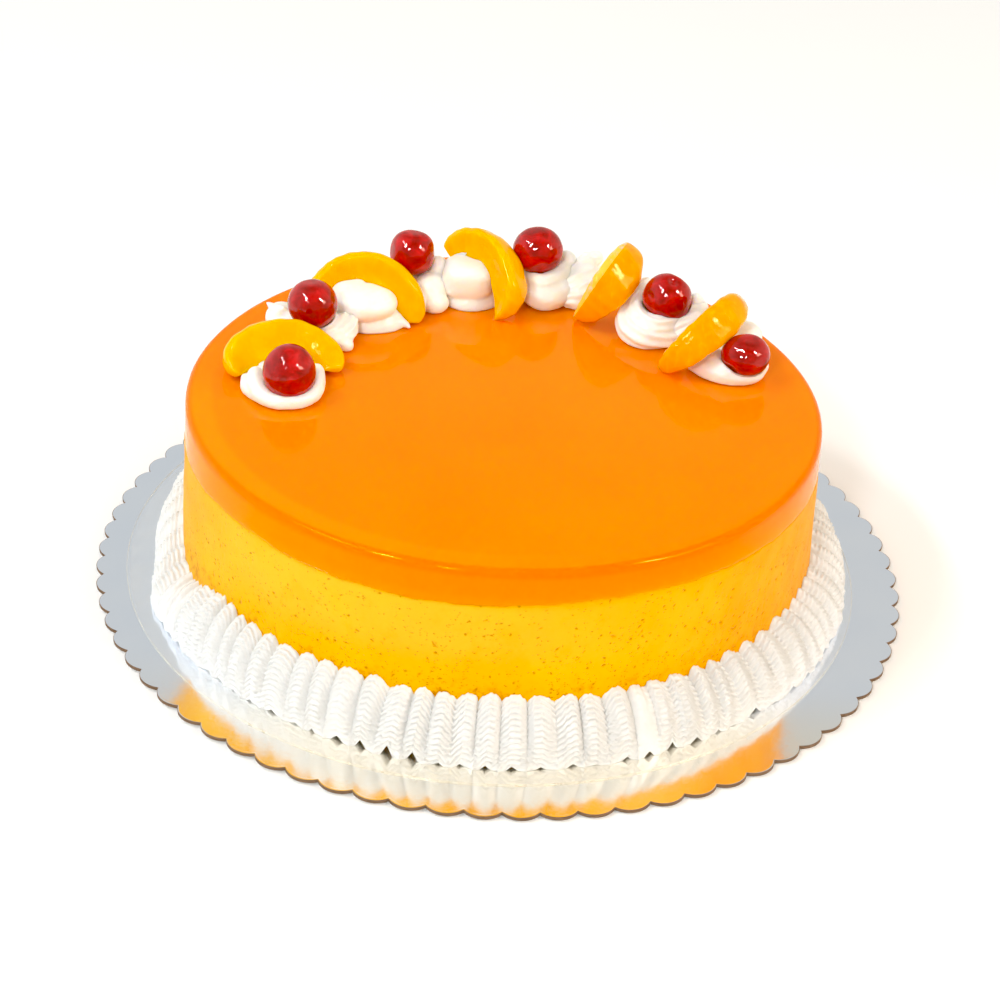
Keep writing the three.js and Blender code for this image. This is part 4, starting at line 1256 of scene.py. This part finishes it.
area("key", (-0.88, -0.22, 1.25), (0, 0, 0.05), 0.50, 6.3, (1.0, 1.0, 0.98), 0.10)
area("front", (-0.35, -1.25, 0.95), (0, 0, 0.04), 0.16, 7.0, (1.0, 0.99, 0.98))
area("side", (1.15, -0.45, 0.70), (0, 0, 0.04), 0.4, 6.7, (1.0, 0.80, 0.60))
# Two small strips that only show as glints on the wet rim and the glazed fruit.
for glint in (area("glint_left", (-0.68, -0.72, 1.16), (0, 0, 0.08), 0.10, 19.0, (1.0, 0.98, 0.95), 0.32),
              area("glint_right", (0.94, -0.52, 1.08), (0, 0, 0.08), 0.10, 19.0, (1.0, 0.97, 0.93), 0.32)):
    glint.visible_diffuse = False

world = bpy.data.worlds.new("studio")
bpy.context.scene.world = world
world.use_nodes = True
wt = world.node_tree
wt.nodes.clear()
wo = wt.nodes.new("ShaderNodeOutputWorld")
bg = wt.nodes.new("ShaderNodeBackground")
wt.links.new(bg.outputs[0], wo.inputs["Surface"])
co = wt.nodes.new("ShaderNodeTexCoord")
sep = wt.nodes.new("ShaderNodeSeparateXYZ")
wt.links.new(co.outputs["Generated"], sep.inputs[0])
# A pale studio all round, dimmer in front and a little dimmer low down behind the cake,
# cool on the left and warm on the right.
def towards(vector, start, end):
    """1 in the direction of the vector, 0 away from it, between two cosines."""
    d = wt.nodes.new("ShaderNodeVectorMath")
    d.operation = "DOT_PRODUCT"
    wt.links.new(co.outputs["Generated"], d.inputs[0])
    d.inputs[1].default_value = Vector(vector).normalized()
    r = wt.nodes.new("ShaderNodeMapRange")
    r.interpolation_type = "SMOOTHSTEP"
    r.inputs["From Min"].default_value = start
    r.inputs["From Max"].default_value = end
    wt.links.new(d.outputs["Value"], r.inputs["Value"])
    return r.outputs["Result"]


def less(value, amount, of):
    """value minus amount times of."""
    m = wt.nodes.new("ShaderNodeMath")
    m.operation = "MULTIPLY_ADD"
    wt.links.new(of, m.inputs[0])
    m.inputs[1].default_value = -amount
    if isinstance(value, float):
        m.inputs[2].default_value = value
    else:
        wt.links.new(value, m.inputs[2])
    return m.outputs[0]


level = less(1.24, 0.54, towards((0.10, 0.86, 0.50), 0.45, 0.95))
level = less(level, 0.36, towards((0.0, 0.0, 1.0), 0.62, 0.96))
level = less(level, 0.55, towards((0.15, -0.9, 0.35), 0.25, 0.85))
side = wt.nodes.new("ShaderNodeMapRange")
side.inputs["From Min"].default_value = -0.8
side.inputs["From Max"].default_value = 0.8
wt.links.new(sep.outputs["X"], side.inputs["Value"])
rmp = wt.nodes.new("ShaderNodeValToRGB")
rmp.color_ramp.elements[0].color = (0.935, 0.985, 0.99, 1)
rmp.color_ramp.elements[1].color = (1.0, 0.93, 0.83, 1)
wt.links.new(side.outputs["Result"], rmp.inputs[0])
wt.links.new(rmp.outputs["Color"], bg.inputs["Color"])
wt.links.new(level, bg.inputs["Strength"])

bpy.context.scene.view_settings.view_transform = "Standard"
bpy.context.scene.view_settings.look = "None"
grade = bpy.context.scene.view_settings
grade.use_curve_mapping = True
grade.curve_mapping.black_level = (0.003, 0.007, 0.018)
grade.curve_mapping.update()
